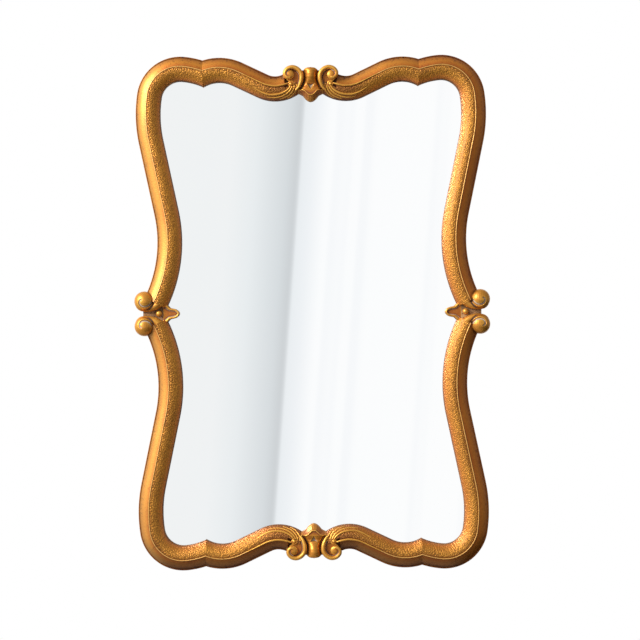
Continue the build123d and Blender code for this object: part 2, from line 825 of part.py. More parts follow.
# The hangers: a strap with a loop at its top, and a ring that swings in the loop
loop_radius = ring_wire + ring_clearance + strap_thickness
ring_axis_y = -bumper_height + strap_lift + loop_radius
hanger_screws = []
for side_name, side in sides:
    x = side * strap_x
    loop_plane = Plane(origin=(x - strap_width / 2, 0, 0), x_dir=(0, 1, 0), z_dir=(1, 0, 0))
    with BuildPart() as hanger_strap:
        with BuildSketch(loop_plane) as strap_side:
            with Locations((ring_axis_y, ring_axis_z)):
                Circle(loop_radius)
            with Locations((-bumper_height, ring_axis_z)):
                Rectangle(strap_thickness, strap_length, align=(Align.MIN, Align.MAX))
            with Locations((ring_axis_y, ring_axis_z)):
                Circle(ring_wire + ring_clearance, mode=Mode.SUBTRACT)
        extrude(amount=strap_width)
        with BuildSketch(Plane.XZ.offset(bumper_height)):
            with Locations(*[(x, ring_axis_z - drop) for drop in hanger_screw_drops]):
                Circle(screw_radius)
        extrude(amount=-strap_thickness, mode=Mode.SUBTRACT)
    write(hanger_strap.part, f"{side_name}_hanger_strap")

    ring_plane = Plane.XZ.offset(-ring_axis_y)
    ring_foot = ring_axis_z - ring_straight
    with BuildPart() as half_ring:
        with BuildLine(ring_plane) as ring_line:
            Line((x, ring_axis_z), (x + ring_half_width - ring_corner, ring_axis_z))
            RadiusArc(
                (x + ring_half_width - ring_corner, ring_axis_z),
                (x + ring_half_width, ring_axis_z - ring_corner),
                ring_corner,
            )
            Line((x + ring_half_width, ring_axis_z - ring_corner), (x + ring_half_width, ring_foot))
            RadiusArc((x + ring_half_width, ring_foot), (x, ring_foot - ring_half_width), ring_half_width)
        with BuildSketch(Plane(origin=(x, ring_axis_y, ring_axis_z), z_dir=(1, 0, 0))):
            Circle(ring_wire)
        sweep()
    with BuildPart() as hanger_ring:
        add(half_ring.part)
        mirror(about=Plane.YZ.offset(x))
    write(hanger_ring.part, f"{side_name}_hanger_ring")

    for drop in hanger_screw_drops:
        hanger_screws.append(screw((x, ring_axis_z - drop), strap_thickness))
write(Compound(children=hanger_screws), "hanger_screws")

# The wall bumpers near the corners
with BuildPart() as wall_bumpers:
    bumper_places = []
    for _, side in sides:
        for level in (1, -1):
            x, z = point_on(corner_centre, corner_radius + bumper_reach, bumper_angle)
            bumper_places.append((side * x, level * z))
    with BuildSketch(Plane.XZ.offset(bumper_height)):
        with Locations(*bumper_places):
            Circle(bumper_radius)
    extrude(amount=-bumper_height)
write(wall_bumpers.part, "wall_bumpers")

print("ring axis", strap_x, ring_axis_y, ring_axis_z)
print("button places", button_places)
print("bumper places", bumper_places)
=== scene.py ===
# %% [markdown]
# # A scalloped gilded mirror, dressed in Blender
# The mirror was built first as solid pieces at their real size. This lesson dresses that model:
# it sweeps the moulding, carves the ornaments, paints the antique gilding and sets up the studio.
# The solids are loaded as a fixed frame, so every new piece is drawn where they say, in metres.

import math

import bmesh
import bpy
import numpy as np
from mathutils import Matrix, Vector


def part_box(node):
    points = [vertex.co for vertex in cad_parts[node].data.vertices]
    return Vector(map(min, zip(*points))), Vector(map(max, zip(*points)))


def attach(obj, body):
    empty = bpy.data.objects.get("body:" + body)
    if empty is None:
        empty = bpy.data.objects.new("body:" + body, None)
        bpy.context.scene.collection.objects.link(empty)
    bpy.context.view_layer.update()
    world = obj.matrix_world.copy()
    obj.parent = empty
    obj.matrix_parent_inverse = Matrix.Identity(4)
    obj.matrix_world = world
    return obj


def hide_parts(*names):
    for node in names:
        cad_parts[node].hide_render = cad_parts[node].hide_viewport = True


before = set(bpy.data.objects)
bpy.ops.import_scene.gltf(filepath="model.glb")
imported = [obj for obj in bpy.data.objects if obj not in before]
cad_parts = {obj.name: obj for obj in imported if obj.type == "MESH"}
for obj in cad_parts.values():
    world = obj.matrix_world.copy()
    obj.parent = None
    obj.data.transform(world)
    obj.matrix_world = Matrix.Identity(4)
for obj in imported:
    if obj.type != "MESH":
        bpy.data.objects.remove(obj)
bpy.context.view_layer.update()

# %% [markdown]
# The drawing is in millimetres, as a frame maker measures it: x to the right and z up from the
# middle of the mirror, and a height that is measured forwards from the back of the wood.
# The wood's back is read from the solids, so the drawing lands on them.

# %% Places on the frame
MM = 0.001
wood_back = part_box("top_rail")[1].y / MM
silver_face = wood_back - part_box("mirror_plate")[0].y / MM


def at(x, z, height):
    """A place on the frame, drawn in millimetres, as a point in metres."""
    return Vector((x, wood_back - height, z)) * MM


def on_circle(centre, radius, angle):
    """The place at an angle in degrees on a circle of the drawing."""
    turn = math.radians(angle)
    return centre[0] + radius * math.cos(turn), centre[1] + radius * math.sin(turn)


def heading(start, end):
    """The direction from one place of the drawing to another, in degrees."""
    return math.degrees(math.atan2(end[1] - start[1], end[0] - start[0]))


print("wood back at y", round(wood_back, 3), "mm; the glass face is", round(silver_face, 3), "mm up")

# %% [markdown]
# The crest line of the moulding is six arcs and two straight runs in each quarter: the waist at
# the side, the long ear, the round corner, the crown, then past the cusp the inner crown and the
# dip under the scrolls. Where two arcs touch, the meeting angle is worked out, not typed in.

# %% The crest line of one quarter
waist, waist_r = (539.4, 139.0), 263.3
ear, ear_r = (63.2, 382.4), 252.8
corner_r = 62.8
crown_r, inner_r, dip_r = 152.4, 84.8, 53.8
cusp_x, cusp_z = 207.6, 464.4
crown = (259.9, cusp_z - math.sqrt(crown_r**2 - (259.9 - cusp_x) ** 2))
inner_crown = (176.0, cusp_z - math.sqrt(inner_r**2 - (cusp_x - 176.0) ** 2))
dip_z = 434.0
dip = (68.2, dip_z + dip_r)
side_x = waist[0] - math.sqrt(waist_r**2 - waist[1] ** 2)


def touching_centre(a, reach_a, b, reach_b):
    """The centre of the corner arc, at one distance from a and another from b, up and to the right."""
    apart = math.dist(a, b)
    along = (reach_a**2 - reach_b**2 + apart**2) / (2 * apart)
    aside = math.sqrt(reach_a**2 - along**2)
    ux, uz = (b[0] - a[0]) / apart, (b[1] - a[1]) / apart
    both = [(a[0] + along * ux - s * aside * uz, a[1] + along * uz + s * aside * ux) for s in (1, -1)]
    return max(both, key=sum)


def crossing_angle(a, radius_a, b, radius_b, side):
    """The direction, seen from b, where the straight run between two opposite arcs touches b."""
    lean = math.degrees(math.asin((radius_a + radius_b) / math.dist(a, b)))
    return heading(a, b) - side * lean - 90


corner = touching_centre(ear, ear_r - corner_r, crown, crown_r - corner_r)
ear_start = crossing_angle(waist, waist_r, ear, ear_r, 1)
ear_end = heading(ear, corner)
corner_end = heading(crown, corner)
dip_start = crossing_angle(inner_crown, inner_r, dip, dip_r, -1) - 180
print("corner centre", corner, "side crest at x", round(side_x, 2))

# %% [markdown]
# The moulding's section is a closed line: flat back, a rebate for the glass, a low outer band that
# swells a little, the thin raised crest, and the rounder inner band that falls to the glass.
# Each point also keeps its reach from the crest, which the gilding later reads as a coordinate.

# %% The section of the moulding
outer_band, inner_band = 20.9, 25.9
crest_height, sight_height = 32.0, 13.0
rebate_reach = 13.9
rebate_height = wood_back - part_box("top_felt_strip")[0].y / MM


def swelling(start, end, rise, steps):
    """The places on a shallow arc that swells by rise from its chord, without its two ends."""
    (x0, h0), (x1, h1) = start, end
    chord = math.hypot(x1 - x0, h1 - h0)
    radius = (chord**2 / 4 + rise**2) / (2 * rise)
    nx, nh = -(h1 - h0) / chord, (x1 - x0) / chord
    if nh < 0:
        nx, nh = -nx, -nh
    places = []
    for i in range(1, steps):
        along = (i / steps - 0.5) * chord
        out = math.sqrt(radius**2 - along**2) - (radius - rise)
        mx, mh = (x0 + x1) / 2 + along * (x1 - x0) / chord, (h0 + h1) / 2 + along * (h1 - h0) / chord
        places.append((mx + nx * out, mh + nh * out))
    return places


outer_arc = swelling((18.6, 16.7), (1.0, 30.9), 2.0, 9)
inner_arc = swelling((-1.0, 30.9), (-inner_band + 0.6, sight_height), 6.2, 15)
section = [(outer_band, 0), (outer_band, 8), (outer_band, 15.6), (20.6, 16.6), (20.0, 17.2), (19.2, 17.2)]
section += [(18.6, 16.7)] + outer_arc
section += [(1.0, 30.9), (0.75, 31.7), (0.3, crest_height), (-0.3, crest_height), (-0.75, 31.7), (-1.0, 30.9)]
section += inner_arc + [(-inner_band + 0.6, sight_height), (-inner_band, sight_height - 0.8)]
section += [(-inner_band, rebate_height), (-rebate_reach, rebate_height), (-rebate_reach, 0)]
print("the section has", len(section), "points; rebate", round(rebate_height, 2), "mm deep")

# %% [markdown]
# Spinning the section about an arc's centre sweeps it along that arc, and extruding carries it
# along a straight run. The last edges of one stretch are the first of the next, so the whole
# quarter is one skin. Every point carries its reach and its number in the section with it.

# %% Sweeping the section along the crest line
STEP = 2.4


def start_section(bm, centre, radius, outward, angle):
    """Draws the section across the crest line at an angle of an arc, as a closed ring of edges."""
    reach_layer = bm.verts.layers.float.new("reach")
    number_layer = bm.verts.layers.float.new("number")
    ring = []
    for number, (reach, height) in enumerate(section):
        x, z = on_circle(centre, radius + outward * reach, angle)
        vert = bm.verts.new(at(x, z, height))
        vert[reach_layer], vert[number_layer] = reach, number
        ring.append(vert)
    return ring + [bm.edges.new((ring[i - 1], ring[i])) for i in range(len(ring))]


def sweep_arc(bm, geom, centre, radius, start, end):
    """Carries the section round an arc of the crest line."""
    steps = max(4, round(math.radians(abs(end - start)) * radius / STEP))
    made = bmesh.ops.spin(bm, geom=geom, cent=at(*centre, 0), axis=(0, -1, 0), dvec=(0, 0, 0),
                          angle=math.radians(end - start), steps=steps, use_merge=False,
                          use_normal_flip=False, use_duplicate=False)
    return made["geom_last"]


def sweep_straight(bm, geom, start, end):
    """Carries the section along a straight run of the crest line."""
    steps = max(2, round(math.dist(start, end) / (2 * STEP)))
    move = (at(*end, 0) - at(*start, 0)) / steps
    for _ in range(steps):
        made = bmesh.ops.extrude_edge_only(bm, edges=[g for g in geom if isinstance(g, bmesh.types.BMEdge)])
        geom = made["geom"]
        verts = [g for g in geom if isinstance(g, bmesh.types.BMVert)]
        bmesh.ops.translate(bm, verts=verts, vec=move)
        geom = verts + [g for g in geom if isinstance(g, bmesh.types.BMEdge)]
    return geom


def cut_open(bm, point, normal):
    """Cuts a skin with a plane and keeps what lies on the side the normal points away from."""
    bmesh.ops.bisect_plane(bm, geom=bm.verts[:] + bm.edges[:] + bm.faces[:], plane_co=point,
                           plane_no=normal, clear_outer=True, clear_inner=False, dist=1e-7)


print("one step of the sweep is", STEP, "mm")

# %% [markdown]
# The quarter is swept in two skins that meet at the cusp. Both are cut by the same upright plane,
# and matching points of the two cut rings are then merged half way, which closes the crease. The
# sweep starts a little above the middle of the side and ends a little short of the middle of the
# top. The flat beds, added later, fill both gaps.

# %% The quarter from the side to the cusp, and on to the keystone
SIDE_START = 25.0
FAR_X = 16.0


def outer_quarter():
    bm = bmesh.new()
    start = heading(waist, (side_x, 0)) % 360
    start -= math.degrees(SIDE_START / waist_r)
    geom = start_section(bm, waist, waist_r, -1, start)
    geom = sweep_arc(bm, geom, waist, waist_r, start, ear_start + 180)
    geom = sweep_straight(bm, geom, on_circle(waist, waist_r, ear_start + 180),
                          on_circle(ear, ear_r, ear_start))
    geom = sweep_arc(bm, geom, ear, ear_r, ear_start, ear_end)
    geom = sweep_arc(bm, geom, corner, corner_r, ear_end, corner_end)
    sweep_arc(bm, geom, crown, crown_r, corner_end, heading(crown, (cusp_x - outer_band, cusp_z)))
    cut_open(bm, at(cusp_x, 0, 0), (-1, 0, 0))
    return bm


def inner_quarter():
    bm = bmesh.new()
    start = heading(inner_crown, (cusp_x + outer_band, cusp_z))
    geom = start_section(bm, inner_crown, inner_r, 1, start)
    geom = sweep_arc(bm, geom, inner_crown, inner_r, start, dip_start + 180)
    geom = sweep_straight(bm, geom, on_circle(inner_crown, inner_r, dip_start + 180),
                          on_circle(dip, dip_r, dip_start))
    end = -180 + math.degrees(math.acos((dip[0] - FAR_X) / (dip_r + inner_band)))
    sweep_arc(bm, geom, dip, dip_r, dip_start, end)
    cut_open(bm, at(cusp_x, 0, 0), (1, 0, 0))
    return bm


def join(bm, other):
    """Adds the contents of another bmesh, which is then freed."""
    mesh = bpy.data.meshes.new("joining")
    other.to_mesh(mesh)
    other.free()
    bm.from_mesh(mesh)
    bpy.data.meshes.remove(mesh)


def close_cusp(bm):
    """Merges the two cut rings at the cusp, point by point."""
    number = bm.verts.layers.float["number"]
    rings = {}
    for vert in bm.verts:
        if abs(vert.co.x / MM - cusp_x) < 1e-3 and vert.is_boundary:
            rings.setdefault(round(vert[number], 1), []).append(vert)
    for pair in rings.values():
        if len(pair) == 2:
            middle = (pair[0].co + pair[1].co) / 2
            bmesh.ops.pointmerge(bm, verts=pair, merge_co=middle)


def whole_quarter():
    bm = outer_quarter()
    join(bm, inner_quarter())
    close_cusp(bm)
    return bm


quarter = whole_quarter()
print("quarter:", len(quarter.verts), "points,", sum(e.is_boundary for e in quarter.edges), "open edges")

# %% [markdown]
# Wherever the saw went through, the section stays open, so the open rings are filled. Then the
# quarter is mirrored. A mirrored shape turns inside out, so its normals are worked out again.

# %% Closing, mirroring and finishing a mesh
MITRE_DROP = 17.3
mitre_z = corner[1] - corner[0] - MITRE_DROP


def close_ends(bm):
    """Fills every open ring of a swept skin with one face."""
    bmesh.ops.holes_fill(bm, edges=[e for e in bm.edges if e.is_boundary], sides=0)


def mirrored(bm, axis):
    """Adds the mirror image of everything, across the middle of the mirror."""
    bmesh.ops.mirror(bm, geom=bm.verts[:] + bm.edges[:] + bm.faces[:], axis=axis, merge_dist=-1)
    bmesh.ops.recalc_face_normals(bm, faces=bm.faces[:])


def make_piece(name, bm, sharp=35.0):
    """Turns a bmesh into an object at the origin, smooth but for its sharp edges."""
    mesh = bpy.data.meshes.new(name)
    for face in bm.faces:
        face.smooth = True
    bm.to_mesh(mesh)
    bm.free()
    mesh.set_sharp_from_angle(angle=math.radians(sharp))
    piece = bpy.data.objects.new(name, mesh)
    bpy.context.scene.collection.objects.link(piece)
    return piece


def settle(piece):
    """Replaces an object's mesh by what its modifiers make of it."""
    graph = bpy.context.evaluated_depsgraph_get()
    done = bpy.data.meshes.new_from_object(piece.evaluated_get(graph))
    piece.modifiers.clear()
    piece.data = done
    return piece


def hide_under(piece, slot, *nodes):
    """The piece rides on the frame and stands for these solids, which are hidden."""
    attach(piece, "frame")
    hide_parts(*nodes)
    return piece


def flipped(piece, name, x=1, z=1):
    """A mirror image of a piece, left to right or top to bottom."""
    mesh = piece.data.copy()
    mesh.transform(Matrix.Diagonal((x, 1, z, 1)))
    if x * z < 0:
        mesh.flip_normals()
    image = bpy.data.objects.new(name, mesh)
    bpy.context.scene.collection.objects.link(image)
    return image


print("the mitre runs along z = x +", round(mitre_z, 1))

# %% [markdown]
# A low block is an outline of corner points between two heights: the bed that carries the
# keystone and scrolls, and the thin bed with the bead between the side volutes. A Boolean union
# makes it one skin with the moulding, as the real member is cut from one piece of wood.

# %% Blocks from their corner points
UPRIGHT = Matrix.Rotation(math.pi / 2, 4, "X")
SAME_LEVEL = 2e-5


def both_sides(half):
    """The outline whose right half is given, with its mirror image on the left."""
    return half + [(-x, z) for x, z in reversed(half)]


def oblong(left, right, half_height):
    """The outline of an oblong at the middle of a side."""
    return [(left, -half_height), (right, -half_height), (right, half_height), (left, half_height)]


def block(bm, outline, low, high, reach=0.0):
    """An upright block: an outline of the drawing, between two heights, with one reach all over."""
    reach_layer = bm.verts.layers.float.new("reach")
    face = bm.faces.new([bm.verts.new(at(x, z, low)) for x, z in outline])
    made = bmesh.ops.extrude_face_region(bm, geom=[face])
    moved = [g for g in made["geom"] if isinstance(g, bmesh.types.BMVert)]
    bmesh.ops.translate(bm, verts=moved, vec=at(0, 0, high) - at(0, 0, low))
    for vert in bm.verts:
        vert[reach_layer] = reach
    bmesh.ops.recalc_face_normals(bm, faces=bm.faces[:])


def combine(piece, other, operation):
    """Adds another closed shape to a piece, or takes it away."""
    change = piece.modifiers.new(operation.lower(), "BOOLEAN")
    change.object = other
    change.operation = operation
    change.solver = "EXACT"
    settle(piece)
    bpy.data.objects.remove(other)
    return piece


def unite_block(piece, outline, low, high, reach):
    """Makes a block one skin with a piece."""
    bm = bmesh.new()
    block(bm, outline, low, high, reach)
    return combine(piece, make_piece("block", bm), "UNION")


def mark_level(piece, height, reach, half_width, half_height):
    """Gives the flat places at one height near the middle of a side their own reach."""
    level = at(0, 0, height).y
    marks = piece.data.attributes["reach"].data
    for vert in piece.data.vertices:
        near = abs(vert.co.x) < half_width * MM or abs(vert.co.z) < half_height * MM
        if near and abs(vert.co.y - level) < SAME_LEVEL:
            marks[vert.index].value = reach
    return piece


print("blocks are ready")

# %% [markdown]
# The top rail is the part of the quarter above the mitre, with its mirror image. The crest is cut
# away where the scrolls lie, and a flat bed joins the two halves behind the keystone. Beds get a
# reach beyond the moulding's own, by which the gilding paints the low bed dark brown and the
# recess between the volutes chalky. The wood behind the bed stops a hair short of the back, so
# that no two faces lie in one plane.

# %% The rails
BED_HEIGHT = 22.0
GROUND, CHALKED = 26.0, 32.0
CUT_REACH, CUT_WIDTH, CUT_DEPTH = 6.0, 50.0, 40.0
BACK_REACH, HAIR = 12.5, 0.02
MARKED_WIDTH = 60.0
bed_corners = [(35, 437), (53, 448), (52, 466), (43, 471.5), (30, 471.5), (18, 465)]
bed_outline = [(-20, 428.5), (20, 428.5)] + both_sides(bed_corners)
back_corners = bed_corners[:1] + [(44, 442.5)] + bed_corners[1:]


def behind_bed():
    """The outline of the wood behind the bed and the scrolls, held off the rebate."""
    half = [Vector((20, 432.2))]
    for x, z in back_corners:
        away = Vector((x - dip[0], z - dip[1]))
        away.length = min(away.length, dip_r + BACK_REACH)
        half.append(Vector(dip) + away)
    return both_sides(half)


def bed_cutter():
    """What is cut away of the crest above the bed."""
    bm = bmesh.new()
    bmesh.ops.create_circle(bm, cap_ends=True, radius=(dip_r + CUT_REACH) * MM, segments=96,
                            matrix=Matrix.Translation(at(*dip, BED_HEIGHT)) @ UPRIGHT)
    cut_open(bm, at(CUT_WIDTH, 0, 0), (1, 0, 0))
    close_ends(bm)
    made = bmesh.ops.extrude_face_region(bm, geom=bm.faces[:])
    moved = [g for g in made["geom"] if isinstance(g, bmesh.types.BMVert)]
    bmesh.ops.translate(bm, verts=moved, vec=at(0, 0, CUT_DEPTH) - at(0, 0, 0))
    mirrored(bm, "X")
    return make_piece("bed_cutter", bm)


def rail(name):
    bm = quarter.copy()
    cut_open(bm, at(0, mitre_z, 0), (1, 0, -1))
    close_ends(bm)
    mirrored(bm, "X")
    piece = combine(make_piece(name, bm), bed_cutter(), "DIFFERENCE")
    unite_block(piece, bed_outline, rebate_height, BED_HEIGHT, GROUND)
    unite_block(piece, behind_bed(), HAIR, rebate_height + 1, GROUND)
    return mark_level(piece, BED_HEIGHT, GROUND, MARKED_WIDTH, 0)


top_rail = rail("gilded_top_rail")
bottom_rail = flipped(top_rail, "gilded_bottom_rail", z=-1)
hide_under(top_rail, "gilded_moulding", "top_rail")
hide_under(bottom_rail, "gilded_moulding", "bottom_rail")
print("rails:", len(top_rail.data.polygons), "faces each")

# %% [markdown]
# The stile is the rest of the quarter, mirrored upwards and downwards, with a thin bed between
# its two ends for the bead.

# %% The stiles
RECESS_HEIGHT = 18.0
SIDE_END, SIDE_HALF = 325.0, 26.0
FRONT_START, BACK_START = 284.0, 290.2


def stile(name):
    bm = quarter.copy()
    cut_open(bm, at(0, mitre_z, 0), (-1, 0, 1))
    close_ends(bm)
    mirrored(bm, "Z")
    piece = make_piece(name, bm)
    unite_block(piece, oblong(FRONT_START, SIDE_END, SIDE_HALF), rebate_height, RECESS_HEIGHT, CHALKED)
    unite_block(piece, oblong(BACK_START, SIDE_END, SIDE_HALF), 0, rebate_height + 1, CHALKED)
    return mark_level(piece, RECESS_HEIGHT, CHALKED, 0, SIDE_HALF + 1)


right_stile = stile("gilded_right_stile")
left_stile = flipped(right_stile, "gilded_left_stile", x=-1)
hide_under(right_stile, "gilded_moulding", "right_stile")
hide_under(left_stile, "gilded_moulding", "left_stile")
print("stiles:", len(right_stile.data.polygons), "faces each")

# %% [markdown]
# Carving is made from overlapping forms: tapering bars for the bands and ribs, balls for the
# eyes, and a relief, which is a fine grid lifted to a height, for the keystones. A voxel remesh
# fuses them into one skin, and a little smoothing rounds the joins, as a rasp and gesso do.

# %% Forms for carving


def tapered_bar(bm, stations, sides=16, per_span=6, flat=1.0):
    """A bar through stations of x, z, height and half width; flat is its thickness over its width."""
    points = [Vector(s) for s in stations]
    dense = []
    for i in range(len(points) - 1):
        a, b = points[max(i - 1, 0)], points[i]
        c, d = points[i + 1], points[min(i + 2, len(points) - 1)]
        for k in range(per_span):
            t = k / per_span
            dense.append(0.5 * ((2 * b) + (c - a) * t + (2 * a - 5 * b + 4 * c - d) * t * t
                                + (3 * b - a - 3 * c + d) * t**3))
    dense.append(points[-1])
    rings = []
    for i, place in enumerate(dense):
        here = at(*place[:3])
        before, after = dense[max(i - 1, 0)], dense[min(i + 1, len(dense) - 1)]
        ahead = (at(*after[:3]) - at(*before[:3])).normalized()
        across = ahead.cross(Vector((0, -1, 0))).normalized()
        up = across.cross(ahead).normalized()
        turn = Matrix((across, up, ahead)).transposed().to_4x4()
        squash = Matrix.Diagonal((1, flat, 1, 1))
        is_end = i in (0, len(dense) - 1)
        ring = bmesh.ops.create_circle(bm, cap_ends=is_end, radius=place[3] * MM, segments=sides,
                                       matrix=Matrix.Translation(here) @ turn @ squash)
        rings.append(ring["verts"])
    for first, second in zip(rings, rings[1:]):
        for k in range(sides):
            bm.faces.new((first[k], first[k - 1], second[k - 1], second[k]))
    bmesh.ops.recalc_face_normals(bm, faces=bm.faces[:])


def ball(bm, x, z, height, radius, scale=(1, 1, 1)):
    """A ball, which scale may flatten along x, depth and z."""
    bmesh.ops.create_uvsphere(bm, u_segments=28, v_segments=18, radius=radius * MM,
                              matrix=Matrix.Translation(at(x, z, height)) @ Matrix.Diagonal((*scale, 1)))


def relief(bm, left, right, low, high, height, base, step=0.5):
    """A carved front: a fine grid lifted to a height at every place, closed by a flat back."""
    columns, rows = round((right - left) / step), round((high - low) / step)
    made = bmesh.ops.create_grid(bm, x_segments=columns, y_segments=rows, size=1)
    for vert in made["verts"]:
        x = left + (vert.co.x + 1) / 2 * (right - left)
        z = low + (vert.co.y + 1) / 2 * (high - low)
        vert.co = at(x, z, max(height(x, z), base))
    back = at(0, 0, base).y
    empty = [f for f in bm.faces if all(abs(v.co.y - back) < 1e-6 for v in f.verts)]
    bmesh.ops.delete(bm, geom=empty, context="FACES")
    made = bmesh.ops.extrude_face_region(bm, geom=bm.faces[:])
    for element in made["geom"]:
        if isinstance(element, bmesh.types.BMVert):
            element.co.y = back + MM
    bmesh.ops.recalc_face_normals(bm, faces=bm.faces[:])


def carve(name, bm, voxel=0.5, rounds=4):
    """Fuses overlapping forms into one skin and rounds it off."""
    piece = make_piece(name, bm)
    fuse = piece.modifiers.new("fuse", "REMESH")
    fuse.mode = "VOXEL"
    fuse.voxel_size = voxel * MM
    soften = piece.modifiers.new("soften", "SMOOTH")
    soften.factor = 0.5
    soften.iterations = rounds
    settle(piece)
    for polygon in piece.data.polygons:
        polygon.use_smooth = True
    return piece


def mark_hollows(piece, rounds=50, depth=0.5):
    """Stores on every point how deep it lies below the smoothed shape: above 0 in hollows."""
    mesh = piece.data
    count = len(mesh.vertices)
    place, normal = np.empty(count * 3), np.empty(count * 3)
    mesh.vertices.foreach_get("co", place)
    mesh.vertices.foreach_get("normal", normal)
    place, normal = place.reshape(-1, 3), normal.reshape(-1, 3)
    ends = np.empty(len(mesh.edges) * 2, int)
    mesh.edges.foreach_get("vertices", ends)
    a, b = ends.reshape(-1, 2).T
    neighbours = np.bincount(a, minlength=count) + np.bincount(b, minlength=count)
    soft = place.copy()
    for _ in range(rounds):
        for axis in range(3):
            column = soft[:, axis].copy()
            total = np.bincount(a, column[b], count) + np.bincount(b, column[a], count)
            soft[:, axis] = total / neighbours
    hollow = ((soft - place) * normal).sum(1) / (depth * MM)
    mesh.attributes.new("hollow", "FLOAT", "POINT").data.foreach_set("value", hollow.astype(np.float32))
    return piece


print("forms for carving are ready")

# %% [markdown]
# The C-scroll winds from a thin tail between keystone and ball, up and over, and rolls into a
# broad round eye. The ground inside the C lies lower, and is painted dark, partly as old wax and
# partly as painted shade.

# %% The C-scrolls
SCROLL_GROUND = 28.5
EYE, EYE_FOOT, EYE_HEIGHT, EYE_RADIUS = (40.3, 455.3), 20.0, 33.2, 9.0
scroll_outline = [(28.5, 426.5), (20, 435), (15.5, 446), (15.5, 460), (21, 467), (31, 471), (42, 470),
                  (50, 463), (51, 452), (44, 445), (36, 441), (31, 434)]
scroll_band = [(29.5, 426.0, 28.0, 1.3), (24.5, 430.5, 29.5, 2.3), (20.3, 438.0, 31.0, 3.3),
               (17.8, 447.0, 32.0, 4.1), (18.2, 457.0, 32.5, 4.4), (24.0, 465.3, 32.8, 4.4),
               (33.5, 469.6, 33.0, 4.3), (43.0, 467.4, 33.0, 4.3), (48.6, 461.0, 33.0, 4.3),
               (48.4, 454.8, 33.0, 4.2), (44.2, 450.8, 33.3, 4.1), (38.6, 450.8, 33.6, 3.6)]


def scroll(name):
    bm = bmesh.new()
    block(bm, scroll_outline, BED_HEIGHT, SCROLL_GROUND)
    tapered_bar(bm, scroll_band, flat=1.15)
    tapered_bar(bm, [(*EYE, EYE_FOOT, EYE_RADIUS - 0.1), (*EYE, EYE_HEIGHT, EYE_RADIUS)],
                sides=32, per_span=2)
    ball(bm, *EYE, EYE_HEIGHT, EYE_RADIUS + 0.1, (1, 0.5, 1))
    return mark_hollows(carve(name, bm))


first_scroll = scroll("carved_top_right_scroll")
print("scroll:", len(first_scroll.data.polygons), "faces")

# %% [markdown]
# Beside it, a small ball volute lets out ribs that run over the moulding: a strong one on the
# crest, a second that crosses the inner band, and a fan of fine ones below the ball. Their places
# are given along and across the moulding, and they lie on its round face.

# %% The leaf sprays


def beside_dip(run, reach):
    """A place on the moulding: run along the crest from the bottom of the dip, reach outwards."""
    arc = math.radians(dip_start + 90) * dip_r
    if run <= arc:
        return on_circle(dip, dip_r - reach, -90 + math.degrees(run / dip_r))
    foot = on_circle(dip, dip_r - reach, dip_start)
    lean = math.radians(dip_start + 90)
    return foot[0] + (run - arc) * math.cos(lean), foot[1] + (run - arc) * math.sin(lean)


def face_height(reach):
    """The height of the moulding's face at a reach from the crest."""
    face = sorted(p for p in section if p[1] > sight_height - 0.1)
    return float(np.interp(reach, [p[0] for p in face], [p[1] for p in face]))


CURL_POST, POST_RADIUS = (37.5, 438.0), 5.0
curl = [(33.4, 434.2, 28.6, 1.7), (32.9, 438.6, 29.2, 2.0), (35.6, 442.2, 29.6, 2.0),
        (40.0, 441.9, 29.8, 1.9), (42.0, 438.4, 30.0, 1.8), (40.4, 435.2, 30.2, 1.6),
        (37.2, 435.2, 30.6, 1.3)]
ribs = [
    [(-25.5, -0.5, 0.1, 1.3), (-16, 0.2, 0.5, 1.9), (0, 0.3, 0.5, 2.0), (20, 0.1, 0.2, 1.6),
     (48, 0, -0.3, 1.1), (70, 0, -0.8, 0.8)],
    [(-27, -8, 0.4, 1.3), (-19, -12, 0.6, 1.8), (-7, -15, 0.7, 2.1), (9, -16.5, 0.4, 1.9),
     (24, -15.5, -0.2, 1.3), (40, -13, -0.9, 0.8)],
    [(-29.5, -10, 0.2, 1.5), (-22, -15, 0.3, 1.8), (-12, -18.8, 0.2, 1.7), (0, -20.8, -0.1, 1.4),
     (12, -21.4, -0.7, 1.0)],
    [(-33, -11.5, 0.1, 1.4), (-26, -17.5, 0.2, 1.6), (-17, -21.6, 0.1, 1.5), (-6, -23.6, -0.2, 1.1)],
    [(-37.5, -12, 0.0, 1.3), (-31.5, -18.5, 0.1, 1.5), (-24, -23.0, 0.0, 1.3), (-16, -24.8, -0.2, 1.0)],
]


def spray(name):
    bm = bmesh.new()
    ball(bm, 37.9, 438.0, 29.6, 3.9)
    tapered_bar(bm, curl, sides=12)
    tapered_bar(bm, [(*CURL_POST, 20.0, POST_RADIUS), (*CURL_POST, 27.0, POST_RADIUS)], per_span=2)
    for stations in ribs:
        placed = []
        for run, reach, proud, half in stations:
            x, z = beside_dip(run, reach)
            placed.append((x, z, face_height(reach) + proud, half))
        tapered_bar(bm, placed, sides=12)
    return mark_hollows(carve(name, bm, voxel=0.42, rounds=6))


first_spray = spray("carved_top_right_leaf_spray")
print("leaf spray:", len(first_spray.data.polygons), "faces")

# %% [markdown]
# The keystone is a barrel on top of a flaring bell. The bell ends in a gilded lip shaped like a
# bow, and its underside slopes back from the lip to the glass.

# %% The keystones
KEYSTONE_FLANK = 23.0
UNDERSIDE = ([0, 5, 10, 15, 22], [406.2, 407.7, 411.7, 418.0, 421.7])
LIP = ([0, 4, 8, 12, 18.5], [416.0, 416.6, 420.2, 424.2, 427.2])
TOP = ([0, 8, 13.5], [470.3, 469.3, 466.0])
HALF_WIDTH = ([427, 432, 438, 443, 447, 458, 463, 466], [18.8, 16.0, 13.2, 11.6, 11.3, 12.0, 12.6, 13.8])
FRONT = ([416, 427, 434, 440, 446, 452, 458, 464, 468, 471],
         [32, 32.4, 30.6, 31.6, 35, 37.6, 38.6, 38, 35.5, 30])
ROUNDNESS = ([430, 447], [3.6, 2.0])


